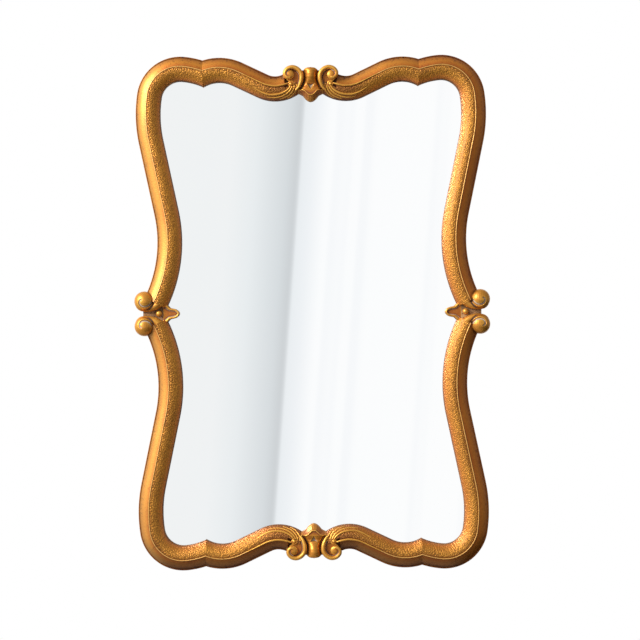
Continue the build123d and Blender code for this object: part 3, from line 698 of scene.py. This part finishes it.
def keystone_height(x, z):
    """The height of the keystone's front; 0 outside its outline."""
    reach = abs(x)
    underside = np.interp(reach, *UNDERSIDE)
    lip = np.interp(reach, *LIP)
    half = np.interp(z, *HALF_WIDTH)
    if z < underside or z > np.interp(reach, *TOP) or (z > lip and reach > half):
        return 0
    if z < lip:
        return 13.5 + 17.0 * ((z - underside) / (lip - underside)) ** 0.8
    bend = np.interp(z, *ROUNDNESS)
    proud = np.interp(z, *FRONT) - KEYSTONE_FLANK
    body = KEYSTONE_FLANK + proud * (1 - (reach / half) ** bend) ** (1 / bend)
    notch = min(438.8 - z, (7.0 * (z - 427.5) / 11.3 - reach) * 0.85)
    body -= 2.4 * min(max(notch, 0), 1.8)
    return body + 1.5 * math.exp(-(((z - lip - 1.0) / 1.1) ** 2))


def keystone(name):
    bm = bmesh.new()
    relief(bm, -24, 24, 404, 472, keystone_height, rebate_height + 1)
    return mark_hollows(carve(name, bm, voxel=0.45, rounds=8))


top_keystone = keystone("carved_top_keystone")
print("keystone:", len(top_keystone.data.polygons), "faces")

# %% [markdown]
# At the sides the inner band narrows and winds into a dome. The volute is the arm and the dome in
# one, over a round block that is glued into the stile; a gouge has cut a spiral groove into it.

# %% The side volutes
VOLUTE = (322.5, 24.0)
DOME_BASE, DOME_RADIUS, DOME_RISE = 22.0, 18.7, 17.5
DISC_RADIUS, DISC_DEPTH = 19.0, 22.0
volute_arm = [(277.5, 47.0, 7.0, 12.0), (283.0, 36.0, 11.5, 11.8), (290.5, 24.8, 17.2, 10.6),
              (300.0, 15.6, 20.8, 8.0), (309.5, 10.2, 22.8, 5.7), (319.5, 8.2, 23.6, 4.4),
              (329.5, 9.6, 24.0, 3.8), (336.0, 15.0, 24.0, 3.2)]
groove = [(306.5, 44.5, 3.0), (304.6, 36.0, 3.3), (304.8, 27.5, 3.3), (307.8, 19.6, 3.2), (313.4, 14.6, 3.0),
          (320.4, 12.9, 2.8), (327.0, 14.8, 2.6), (330.6, 19.8, 2.3), (329.8, 25.0, 2.0), (325.8, 27.2, 1.4)]


def dome_height(x, z):
    """The height of the volute's dome at a place."""
    off = math.dist((x, z), VOLUTE) / DOME_RADIUS
    return DOME_BASE + DOME_RISE * math.sqrt(max(0.0, 1 - off**2))


def volute(name):
    bm = bmesh.new()
    tapered_bar(bm, volute_arm, sides=24, flat=1.12)
    cut_open(bm, at(0, 0, rebate_height + 1), (0, 1, 0))
    close_ends(bm)
    radius = DISC_RADIUS * MM
    bmesh.ops.create_cone(bm, cap_ends=True, segments=64, radius1=radius, radius2=radius,
                          depth=DISC_DEPTH * MM,
                          matrix=Matrix.Translation(at(*VOLUTE, DISC_DEPTH / 2)) @ UPRIGHT)
    ball(bm, *VOLUTE, DOME_BASE, DOME_RADIUS, (1, DOME_RISE / DOME_RADIUS, 1))
    piece = carve(name, bm, voxel=0.5, rounds=1)
    bm = bmesh.new()
    tapered_bar(bm, [(x, z, dome_height(x, z), half) for x, z, half in groove], sides=12)
    combine(piece, make_piece("groove_cutter", bm), "DIFFERENCE")
    bm = bmesh.new()
    bm.from_mesh(piece.data)
    bpy.data.objects.remove(piece)
    return mark_hollows(carve(name, bm, voxel=0.5, rounds=3), rounds=60, depth=0.4)


first_volute = volute("carved_right_upper_volute")
print("volute:", len(first_volute.data.polygons), "faces")

# %% [markdown]
# Between the volutes sits a bead, and from the recess a leaf of three lobes reaches out over the
# glass. The leaf has a hollow middle and a raised rim, so it is a thin block with a bar round it.

# %% The beads and leaves
LEAF_GAP = 0.3
BEAD, BEAD_RADIUS = (294.5, 0.3, 18.6), 6.0
half_leaf = [(287, 18.0), (281, 17.3), (276, 12.5), (272, 9.8), (267, 9.6), (262, 8.2),
             (258.5, 5.0), (256.2, 0)]
leaf_outline = half_leaf + [(x, -z) for x, z in half_leaf[-2::-1]]
half_rim = [(286.0, 15.0, 17.6, 2.4), (280.5, 14.2, 18.0, 2.8), (274.5, 9.0, 18.4, 2.4),
            (267.0, 7.6, 19.0, 2.0), (261.5, 5.6, 19.6, 1.7), (258.0, 1.8, 20.2, 1.5)]
leaf_rim = half_rim + [(x, -z, height, half) for x, z, height, half in reversed(half_rim)]


def leaf(name):
    bm = bmesh.new()
    block(bm, leaf_outline, rebate_height + LEAF_GAP, RECESS_HEIGHT)
    tapered_bar(bm, leaf_rim, sides=14)
    return mark_hollows(carve(name, bm, voxel=0.42, rounds=4))


def bead(name):
    bm = bmesh.new()
    ball(bm, *BEAD, BEAD_RADIUS)
    return mark_hollows(carve(name, bm, voxel=0.5, rounds=2))


first_leaf = leaf("carved_right_leaf")
first_bead = bead("carved_right_bead")
print("leaf:", len(first_leaf.data.polygons), "faces")

# %% [markdown]
# One quarter was carved, and the other ornaments are its mirror images, as on the real frame.

# %% The ornaments all round
carvings = [top_keystone]
hide_under(top_keystone, "gilded_carving", "top_keystone")
bottom_keystone = flipped(top_keystone, "carved_bottom_keystone", z=-1)
carvings.append(hide_under(bottom_keystone, "gilded_carving", "bottom_keystone"))
for level, z in (("top", 1), ("bottom", -1)):
    for side, x in (("right", 1), ("left", -1)):
        for kind, first in (("scroll", first_scroll), ("leaf_spray", first_spray)):
            node = f"{level}_{side}_{kind}"
            piece = first if x == z == 1 else flipped(first, f"carved_{node}", x, z)
            carvings.append(hide_under(piece, "gilded_carving", node))
for side, x in (("right", 1), ("left", -1)):
    for level, z in (("upper", 1), ("lower", -1)):
        node = f"{side}_{level}_volute"
        piece = first_volute if x == z == 1 else flipped(first_volute, f"carved_{node}", x, z)
        carvings.append(hide_under(piece, "gilded_carving", node))
    for kind, first in (("bead", first_bead), ("leaf", first_leaf)):
        node = f"{side}_{kind}"
        piece = first if x == 1 else flipped(first, f"carved_{node}", x)
        carvings.append(hide_under(piece, "gilded_carving", node))
print(len(carvings), "carved pieces")

# %% [markdown]
# A material is a net of shader nodes. These helpers add a node, join sockets and build a colour
# ramp, so that each finish below reads as a short recipe.

# %% Helpers for materials


def colour(code):
    """A colour written as on the web, as the linear values that a shader reads."""
    parts = [int(code[i:i + 2], 16) / 255 for i in (0, 2, 4)]
    return [p / 12.92 if p <= 0.04045 else ((p + 0.055) / 1.055) ** 2.4 for p in parts] + [1.0]


def plug(tree, socket, value):
    """Gives a socket a value, or the output of another node."""
    if isinstance(value, bpy.types.NodeSocket):
        tree.links.new(value, socket)
    else:
        socket.default_value = value


def add(tree, kind, settings=None, **inputs):
    """A new node with settings and inputs; i0 and so on are inputs by number, others by name."""
    node = tree.nodes.new(kind)
    for key, value in (settings or {}).items():
        setattr(node, key, value)
    for key, value in inputs.items():
        by_number = key[0] == "i" and key[1:].isdigit()
        plug(tree, node.inputs[int(key[1:]) if by_number else key.replace("_", " ")], value)
    return node


def ramp(tree, factor, stops):
    """A colour ramp through stops of place and colour."""
    node = add(tree, "ShaderNodeValToRGB")
    tree.links.new(factor, node.inputs[0])
    band = node.color_ramp
    while len(band.elements) > 1:
        band.elements.remove(band.elements[-1])
    band.elements[0].position = stops[0][0]
    band.elements[0].color = stops[0][1]
    for place, value in stops[1:]:
        band.elements.new(place).color = value
    return node.outputs[0]


def blend(tree, factor, first, second):
    """One colour mixed into another."""
    return add(tree, "ShaderNodeMix", {"data_type": "RGBA"}, i0=factor, i6=first, i7=second).outputs[2]


def tint(tree, mask, base, code):
    """A colour, given by its code, laid over another where a mask says."""
    return blend(tree, mask, base, colour(code))


def maths(tree, how, a, b, clamp=False):
    """A maths node with two values."""
    return add(tree, "ShaderNodeMath", {"operation": how, "use_clamp": clamp}, i0=a, i1=b).outputs[0]


def times(tree, a, b):
    """Two values multiplied."""
    return maths(tree, "MULTIPLY", a, b)


def between(tree, value, low, high, start=0.0, end=1.0):
    """Maps a value smoothly from one range to another."""
    return add(tree, "ShaderNodeMapRange", {"interpolation_type": "SMOOTHSTEP"},
               i0=value, i1=low, i2=high, i3=start, i4=end).outputs[0]


def quartered(tree, place):
    """How far a place is aside of the middle, how far above or below it, and both as one place."""
    spot = add(tree, "ShaderNodeSeparateXYZ", Vector=place)
    aside = maths(tree, "ABSOLUTE", spot.outputs[0], 0.0)
    level = maths(tree, "ABSOLUTE", spot.outputs[2], 0.0)
    return aside, level, add(tree, "ShaderNodeCombineXYZ", i0=aside, i2=level).outputs[0]


def distance_to(tree, place, centre):
    """How far a place is from a fixed centre."""
    return add(tree, "ShaderNodeVectorMath", {"operation": "DISTANCE"}, i0=place, i1=centre).outputs["Value"]


def surface_normal(tree):
    """The three parts of the direction that the surface faces."""
    normal = tree.nodes["Texture Coordinate"].outputs["Normal"]
    return add(tree, "ShaderNodeSeparateXYZ", Vector=normal).outputs


def new_material(name):
    """A material with its Principled shader, and the coordinates it reads."""
    material = bpy.data.materials.new(name)
    material.use_nodes = True
    tree = material.node_tree
    shader = tree.nodes["Principled BSDF"]
    place = tree.nodes.new("ShaderNodeTexCoord").outputs["Object"]
    return material, tree, shader, place


def paint(piece, material):
    """Gives a piece one material."""
    piece.data.materials.clear()
    piece.data.materials.append(material)


def dress(material, *names):
    """Gives a material to solids that keep showing."""
    for name in names:
        paint(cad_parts[name], material)


print("material helpers are ready")

# %% [markdown]
# Antique gilding has three effects that both gilt finishes share: a pebbled surface of small
# dents, brown specks where dirt stays, and broad patches where the gilding is thinner. They are
# built once, as a node group.

# %% The node group for aged gilding


def aged_gilding_group():
    group = bpy.data.node_groups.new("aged_gilding", "ShaderNodeTree")
    group.interface.new_socket("Place", in_out="INPUT", socket_type="NodeSocketVector")
    for name in ("Pebble Size", "Speck Amount"):
        group.interface.new_socket(name, in_out="INPUT", socket_type="NodeSocketFloat")
    for name in ("Pebbles", "Specks", "Patches"):
        group.interface.new_socket(name, in_out="OUTPUT", socket_type="NodeSocketFloat")
    source = group.nodes.new("NodeGroupInput")
    out = group.nodes.new("NodeGroupOutput")
    place = source.outputs["Place"]
    scale = maths(group, "DIVIDE", 1.0, source.outputs["Pebble Size"])
    cells = add(group, "ShaderNodeTexVoronoi", {"feature": "SMOOTH_F1"},
                Vector=place, Scale=scale, Smoothness=0.4)
    fine = add(group, "ShaderNodeTexNoise", Vector=place, Scale=900.0, Detail=3.0)
    pebbles = maths(group, "ADD", cells.outputs["Distance"], times(group, fine.outputs[0], 0.5))
    group.links.new(pebbles, out.inputs["Pebbles"])
    grit = add(group, "ShaderNodeTexNoise", Vector=place, Scale=210.0, Detail=3.0, Roughness=0.65)
    low = maths(group, "SUBTRACT", 0.72, times(group, source.outputs["Speck Amount"], 0.2))
    specks = add(group, "ShaderNodeMapRange", i0=grit.outputs[0], i1=low, i2=maths(group, "ADD", low, 0.1))
    group.links.new(specks.outputs[0], out.inputs["Specks"])
    broad = add(group, "ShaderNodeTexNoise", Vector=place, Scale=22.0, Detail=3.0, Roughness=0.55)
    group.links.new(between(group, broad.outputs[0], 0.35, 0.65), out.inputs["Patches"])
    return group


def aged(tree, place, pebble_size, speck_amount):
    """The outputs of the group, for pebbles of one size and one amount of specks."""
    return add(tree, "ShaderNodeGroup", {"node_tree": aged_gilding}, Place=place,
               Pebble_Size=pebble_size, Speck_Amount=speck_amount).outputs


aged_gilding = aged_gilding_group()
print("group:", aged_gilding.name)

# %% [markdown]
# On the moulding the finish changes across the section: red-brown specks at the outer edge, a
# smooth copper-gold outer band, a worn pale crest, and a pebbled olive-gold inner band that turns
# orange at the glass. The dark line just inside the outer rim is partly a painted shadow, and the
# brighter orange near the glass partly a painted reflection. The reach that the sweep carried along
# is the coordinate for all of this.

# %% The gilding across the moulding
REACH_LOW, REACH_HIGH = -26.0, 32.0
# The dark line at 18.4 is partly painted shadow; -24 to -15 are brightened partly as a painted reflection.
across_section = [
    (-25.5, "5A2E0C"), (-24, "E88636"), (-20.5, "EA983A"), (-15, "D89436"), (-6, "BC7E28"), (-2, "9A5C1A"),
    (-1.1, "8A4E18"), (-0.7, "E6B264"), (0.7, "E6B264"), (1.2, "8E4410"), (3, "B4621E"), (9, "C67C2A"),
    (15, "B06822"), (18.4, "6E340E"), (20, "8C4812"), (20.9, "AC5E1E"), (22, "5A2E0C"), (29, "5A2E0C"),
    (31, "8E6E52")]


def gilt_across(tree, reach, inner, age):
    """The colours by reach, with the pebbles, thin patches and specks of aged gilding."""
    span = REACH_HIGH - REACH_LOW
    across = add(tree, "ShaderNodeMapRange", i0=reach, i1=REACH_LOW, i2=REACH_HIGH).outputs[0]
    base = ramp(tree, across, [((stop - REACH_LOW) / span, colour(code)) for stop, code in across_section])
    light = ramp(tree, age["Pebbles"],
                 [(0.25, colour("E4AC48")), (0.5, colour("B87C26")), (0.8, colour("6A3A0C"))])
    base = blend(tree, times(tree, inner, between(tree, reach, -25.0, -13.0, 0.2, 0.55)), base, light)
    base = tint(tree, times(tree, age["Patches"], 0.2), base, "E09E36")
    edge = between(tree, reach, 10.0, 17.5)
    specks = maths(tree, "MULTIPLY", age["Specks"], maths(tree, "ADD", 0.3, edge), clamp=True)
    return tint(tree, specks, base, "54260C")


print(len(across_section), "colours across the moulding")

# %% [markdown]
# Painted shade darkens the gilding beside the ornaments, round the eyes and on the undersides, and
# a fine dark line shows each mitre. The bands also carry painted light and shade by the side they
# face. That is no wear: it was chosen to match the light of one photograph, and it stays as it is
# when the light changes. The flat back, which nobody gilds, is bare wood.

# %% Painted shade, painted light by side, and bare wood
VOLUTE_EYE = (VOLUTE[0] * MM, 0.0, VOLUTE[1] * MM)
SCROLL_EYE = (0.041, 0.0, 0.457)
# Painted shade round each kind of eye: its centre, and the radii where it is full and where it ends.
rings = ((VOLUTE_EYE, 0.0195, 0.0235), (SCROLL_EYE, 0.0145, 0.0185))


def painted_shade_and_mitre_lines(tree, base, reach, place, normal):
    """Painted shade beside the ornaments, round the eyes and on the undersides, and the mitre lines."""
    aside, level, flat = quartered(tree, place)
    # Painted shade near the keystones and scrolls, strongest on the inner band.
    near = times(tree, between(tree, aside, 0.13, 0.06), between(tree, level, 0.38, 0.41))
    near = times(tree, near, between(tree, reach, 1.0, -1.0, 0.25, 1.0))
    base = tint(tree, times(tree, near, 0.62), base, "6A3512")
    # Painted shade round each volute eye and scroll eye.
    for centre, inside, outside in rings:
        away = distance_to(tree, flat, centre)
        base = tint(tree, between(tree, away, outside, inside, 0.0, 0.5), base, "44220C")
    # Painted shade on the outer band where it faces down.
    below = times(tree, between(tree, normal[2], -0.1, -0.55), between(tree, reach, 0.6, 2.0, 0.0, 0.62))
    base = tint(tree, below, base, "3A1E0A")
    off_mitre = maths(tree, "SUBTRACT", maths(tree, "SUBTRACT", level, aside), mitre_z * MM)
    joint = between(tree, maths(tree, "ABSOLUTE", off_mitre, 0.0), 0.0014, 0.0004, 0.0, 0.5)
    return tint(tree, joint, base, "3E1E0A")


def painted_light_by_side(tree, base, reach, normal):
    """Painted light and shade by facing: the outer band paler facing left and deeper facing right;
    the inner band darker facing left or up, and brighter facing right or down."""
    outer = between(tree, reach, 0.6, 2.0)
    # Painted highlight where the outer band faces left, painted shade where it faces right.
    base = tint(tree, times(tree, between(tree, normal[0], -0.15, -0.6, 0.0, 0.35), outer), base, "E8B05C")
    base = tint(tree, times(tree, between(tree, normal[0], 0.15, 0.6, 0.0, 0.4), outer), base, "B86214")
    inner = between(tree, reach, -0.6, -2.0)
    # On the inner band, painted shade facing left or up, painted light facing right or down.
    left_or_up = maths(tree, "MAXIMUM", times(tree, normal[0], -1.0), normal[2])
    base = tint(tree, times(tree, between(tree, left_or_up, 0.2, 0.7, 0.0, 0.45), inner), base, "9A5A18")
    return tint(tree, times(tree, between(tree, left_or_up, -0.1, -0.4, 0.0, 0.4), inner), base, "D88A26")


def bare_wood(tree, place):
    """Pale wood with an upright grain."""
    stretched = add(tree, "ShaderNodeMapping", Vector=place, Scale=(1, 1, 0.12)).outputs[0]
    grain = add(tree, "ShaderNodeTexNoise", Vector=stretched, Scale=420.0, Detail=4.0)
    return ramp(tree, grain.outputs[0], [(0.35, colour("A67C52")), (0.65, colour("C29A6C"))])


# Each ring is painted shade.
print("wax rings round", len(rings), "kinds of eye")

# %% [markdown]
# The layers come together here. Gilt is part metal and fairly smooth; the dark bed, chalk and
# bare wood are dull. The pebbles also stand out as a small bump, mostly on the inner band.

# %% The gilding of the moulding


def gilded_moulding():
    material, tree, shader, place = new_material("antique_gilt_moulding")
    reach = add(tree, "ShaderNodeAttribute", {"attribute_name": "reach"}).outputs["Fac"]
    age = aged(tree, place, 0.0025, 0.85)
    inner = between(tree, reach, -0.5, -3.0)
    normal = surface_normal(tree)
    base = gilt_across(tree, reach, inner, age)
    # Painted shade and mitre lines, then painted light and shade by the side each band faces.
    base = painted_shade_and_mitre_lines(tree, base, reach, place, normal)
    base = painted_light_by_side(tree, base, reach, normal)
    bare = between(tree, normal[1], 0.4, 0.6)
    tree.links.new(blend(tree, bare, base, bare_wood(tree, place)), shader.inputs["Base Color"])
    metal = times(tree, between(tree, reach, 22.0, 24.0, 0.62, 0.05), maths(tree, "SUBTRACT", 1.0, bare))
    tree.links.new(metal, shader.inputs["Metallic"])
    dull = maths(tree, "MAXIMUM", between(tree, reach, 22.0, 24.0, 0.0, 0.35), times(tree, bare, 0.25))
    rough = maths(tree, "ADD", 0.34, times(tree, age["Pebbles"], 0.16))
    tree.links.new(maths(tree, "ADD", rough, dull), shader.inputs["Roughness"])
    shader.inputs["Coat Weight"].default_value = 0.14
    shader.inputs["Coat Roughness"].default_value = 0.35
    height = times(tree, age["Pebbles"], maths(tree, "ADD", 0.15, inner))
    bump = add(tree, "ShaderNodeBump", Height=height, Distance=0.0009, Strength=0.9)
    tree.links.new(bump.outputs[0], shader.inputs["Normal"])
    return material


moulding_gilt = gilded_moulding()
for piece in (top_rail, bottom_rail, left_stile, right_stile):
    paint(piece, moulding_gilt)
print("moulding:", moulding_gilt.name)

# %% [markdown]
# On the carving the finish follows the relief. High places are bright gold, partly rubbed gilding
# and partly painted highlight; flanks are copper; hollows are dark, partly with old wax and partly
# as painted shade, and the deepest ones hold a dusty pink-grey chalk. The inward side of each
# volute has a dark ring of painted shade, and the backs are bare wood.

# %% The gilding of the carving


def gilded_carving():
    material, tree, shader, place = new_material("antique_gilt_carving")
    hollow = add(tree, "ShaderNodeAttribute", {"attribute_name": "hollow"}).outputs["Fac"]
    age = aged(tree, place, 0.003, 0.3)
    uneven = times(tree, maths(tree, "SUBTRACT", age["Pebbles"], 0.5), 0.3)
    depth = maths(tree, "ADD", hollow, uneven)
    depth = add(tree, "ShaderNodeMapRange", i0=depth, i1=-2.0, i2=2.0).outputs[0]
    # Bright on the high places, dark in the hollows: rubbed gilding and old wax, partly painted highlight and
    # painted shade.
    base = ramp(tree, depth, [(0.1, colour("EAB24E")), (0.4, colour("CC8A30")), (0.54, colour("A45E1E")),
                              (0.66, colour("64320F")), (0.8, colour("3E1F0E"))])
    base = tint(tree, times(tree, age["Patches"], 0.3), base, "9A4E18")
    dusty = between(tree, age["Pebbles"], 0.2, 0.6, 0.45, 1.0)
    base = tint(tree, times(tree, between(tree, depth, 0.66, 0.86), dusty), base, "B8A288")
    base = tint(tree, times(tree, age["Specks"], 0.5), base, "5C2A10")
    aside, level, flat = quartered(tree, place)
    # A ring of painted shade round the inward side of each volute dome.
    away = distance_to(tree, flat, VOLUTE_EYE)
    ring = times(tree, between(tree, away, 0.0155, 0.0178), between(tree, away, 0.0208, 0.0192))
    ring = times(tree, ring, between(tree, aside, 0.319, 0.311, 0.0, 0.85))
    base = tint(tree, ring, base, "3E1F0E")
    base = tint(tree, between(tree, surface_normal(tree)[1], 0.5, 0.7), base, "B08458")
    tree.links.new(base, shader.inputs["Base Color"])
    tree.links.new(between(tree, depth, 0.4, 0.75, 0.4, 0.8), shader.inputs["Roughness"])
    tree.links.new(between(tree, depth, 0.45, 0.75, 0.58, 0.05), shader.inputs["Metallic"])
    bump = add(tree, "ShaderNodeBump", Height=age["Pebbles"], Distance=0.0003, Strength=0.25)
    tree.links.new(bump.outputs[0], shader.inputs["Normal"])
    return material


carving_gilt = gilded_carving()
for piece in carvings:
    paint(piece, carving_gilt)
print("carving:", carving_gilt.name)

# %% [markdown]
# The glass is silvered, so it is all reflection. A faint, broad haze takes off very little light.

# %% The mirror plate


def silvered_glass():
    material, tree, shader, place = new_material("silvered_glass")
    haze = add(tree, "ShaderNodeTexNoise", Vector=place, Scale=3.0, Detail=2.0)
    tone = ramp(tree, haze.outputs[0], [(0.3, colour("FDFEFE")), (0.7, colour("FEFEFE"))])
    tree.links.new(tone, shader.inputs["Base Color"])
    shader.inputs["Metallic"].default_value = 1.0
    shader.inputs["Roughness"].default_value = 0.015
    return material


dress(silvered_glass(), "mirror_plate")
print("the mirror plate is silvered")

# %% [markdown]
# Behind the glass there is plain joinery: a brown hardboard, felt, beech splines, zinc-plated
# hardware and rubber bumpers. Each gets the grain or grit that the real stuff has.

# %% Materials of the back


def plain_material(name, dark, light, scale, roughness, metallic=0.0, stretch=(1, 1, 1), bump_depth=0.0):
    """A finish with two near tones in a noise that may be stretched into grain."""
    material, tree, shader, place = new_material(name)
    mapping = add(tree, "ShaderNodeMapping", Vector=place, Scale=stretch)
    grain = add(tree, "ShaderNodeTexNoise", Vector=mapping.outputs[0], Scale=scale, Detail=5.0, Roughness=0.6)
    tone = ramp(tree, grain.outputs[0], [(0.35, colour(dark)), (0.65, colour(light))])
    tree.links.new(tone, shader.inputs["Base Color"])
    rough = between(tree, grain.outputs[0], 0.3, 0.7, roughness - 0.08, roughness + 0.08)
    tree.links.new(rough, shader.inputs["Roughness"])
    shader.inputs["Metallic"].default_value = metallic
    if bump_depth:
        bump = add(tree, "ShaderNodeBump", Height=grain.outputs[0], Distance=bump_depth, Strength=0.6)
        tree.links.new(bump.outputs[0], shader.inputs["Normal"])
    return material


hardboard = plain_material("hardboard", "5A3C24", "7A563A", 260.0, 0.6, bump_depth=0.0003)
felt = plain_material("black_felt", "0E0E0E", "222222", 1400.0, 0.95, bump_depth=0.0006)
beech = plain_material("beech_splines", "A9794C", "CFA274", 90.0, 0.6, stretch=(1, 1, 6))
zinc = plain_material("zinc_plate", "9EA1A4", "C3C5C6", 340.0, 0.34, metallic=1.0)
screw_steel = plain_material("screw_steel", "8D8C88", "B4B3AF", 500.0, 0.3, metallic=1.0)
rubber = plain_material("bumper_rubber", "1B1917", "2C2926", 700.0, 0.8, bump_depth=0.0002)
dress(hardboard, "backing_board")
dress(felt, "top_felt_strip", "bottom_felt_strip", "left_felt_strip", "right_felt_strip")
dress(beech, "corner_splines")
dress(zinc, *[f"turn_button_{n}" for n in range(1, 9)])
dress(zinc, "left_hanger_strap", "right_hanger_strap", "left_hanger_ring", "right_hanger_ring")
dress(screw_steel, "turn_button_screws", "hanger_screws")
dress(rubber, "wall_bumpers")
print("the back is finished")

# %% [markdown]
# The studio. The camera stands straight in front, a little below and to the right of the middle,
# and is turned by less than half a degree, as the photographer's was. Its distance is long, so
# the mirror shows almost without perspective.

# %% The camera
IMAGE_SIDE = 640
MM_PER_PIXEL = 990 / 517.4
CAMERA_DISTANCE = 3200.0
CAMERA_AIM = (14.66, -14.31)
CAMERA_ROLL = math.radians(0.4226)

camera_data = bpy.data.cameras.new("camera")
camera = bpy.data.objects.new("camera", camera_data)
bpy.context.scene.collection.objects.link(camera)
bpy.context.scene.camera = camera
c, s = math.cos(CAMERA_ROLL), math.sin(CAMERA_ROLL)
turned = Matrix(((c, s, 0), (0, 0, -1), (-s, c, 0))).to_4x4()
camera.matrix_world = Matrix.Translation(at(*CAMERA_AIM, CAMERA_DISTANCE)) @ turned
view_width = IMAGE_SIDE * MM_PER_PIXEL
camera_data.lens = camera_data.sensor_width * (CAMERA_DISTANCE - crest_height) / view_width
print("lens", round(camera_data.lens, 2), "mm")

# %% [markdown]
# The room is a world of soft directions: white behind the mirror and in front of it, dimmer to
# the right and below, so that the gilding turns from bright gold on the left of every form to
# brown on the right. A mirror shows what stands in front of it, so the world also has the soft
# folds of a pale curtain there.

# %% The world and the lamps
WHITE = (1.0, 1.0, 1.0, 1.0)
BLACK = (0.0, 0.0, 0.0, 1.0)
FOLD_TILT = 0.079


def studio_world():
    world = bpy.data.worlds.new("studio")
    bpy.context.scene.world = world
    world.use_nodes = True
    tree = world.node_tree
    background = tree.nodes["Background"]
    place = tree.nodes.new("ShaderNodeTexCoord").outputs["Generated"]
    parts = add(tree, "ShaderNodeSeparateXYZ", Vector=place)
    x, y, z = parts.outputs
    behind = between(tree, y, 0.6, 0.85)
    left = between(tree, x, 0.0, -0.6, 0.0, 0.5)
    right = between(tree, x, 0.1, 0.6, 0.0, 0.04)
    high = between(tree, z, 0.2, 0.8, 0.0, -0.06)
    low = between(tree, z, 0.05, -0.5, 0.0, 0.42)
    level = maths(tree, "SUBTRACT", maths(tree, "ADD", left, maths(tree, "ADD", high, 0.46)),
                   maths(tree, "ADD", right, low), clamp=True)
    plain = blend(tree, level, BLACK, WHITE)
    ahead = maths(tree, "MAXIMUM", times(tree, y, -1.0), 0.2)
    rise = times(tree, maths(tree, "DIVIDE", z, ahead), FOLD_TILT)
    across = maths(tree, "SUBTRACT", maths(tree, "DIVIDE", x, ahead), rise)
    drape = add(tree, "ShaderNodeMapRange", i0=across, i1=-0.19, i2=0.19).outputs[0]
    curtain = ramp(tree, drape, [
        (0.0, colour("F2F4F4")), (0.34, colour("F1F3F4")), (0.38, colour("EAEEF0")),
        (0.43, colour("D8DDE0")), (0.448, colour("CCD0D3")), (0.452, colour("EBEFF2")),
        (0.47, colour("F0F3F6")), (0.495, colour("FCFDFE")), (1.0, colour("FFFFFF"))])
    streak = add(tree, "ShaderNodeTexNoise", {"noise_dimensions": "1D"}, W=across, Scale=70.0, Detail=1.0)
    folds = between(tree, streak.outputs[0], 0.5, 0.68)
    folds = times(tree, folds, between(tree, across, -0.02, 0.0, 0.0, 0.55))
    curtain = blend(tree, folds, curtain, colour("F4F6F9"))
    plain = blend(tree, between(tree, y, -0.93, -0.962), plain, curtain)
    tree.links.new(blend(tree, behind, plain, WHITE), background.inputs["Color"])
    background.inputs["Strength"].default_value = 1.0
    return world


def soft_lamp(name, place, size, power, warmth):
    """A square studio lamp that looks at the middle of the mirror."""
    data = bpy.data.lights.new(name, "AREA")
    data.shape = "SQUARE"
    data.size = size
    data.energy = power
    data.color = warmth
    data.spread = math.radians(70)
    lamp = bpy.data.objects.new(name, data)
    bpy.context.scene.collection.objects.link(lamp)
    lamp.location = place
    lamp.rotation_mode = "QUATERNION"
    lamp.rotation_quaternion = (-Vector(place)).to_track_quat("-Z", "Y")
    return lamp


studio_world()
soft_lamp("key", (-2.4, -1.7, 1.5), 1.3, 27.0, (1.0, 0.97, 0.92))
bpy.context.scene.view_settings.view_transform = "Standard"
print("the studio is lit")

# %% [markdown]
# A plain pale floor lies below the mirror, where it would be in a room, out of the photograph.

# %% The floor
FLOOR_LEVEL = -2.4
floor_mesh = bmesh.new()
bmesh.ops.create_grid(floor_mesh, x_segments=1, y_segments=1, size=1.0,
                      matrix=Matrix.Translation((0, -0.4, FLOOR_LEVEL)))
floor = make_piece("floor", floor_mesh)
floor.data.materials.append(plain_material("pale_floor", "E9E8E6", "F1F0EE", 4.0, 0.7))
print("floor at z", FLOOR_LEVEL)
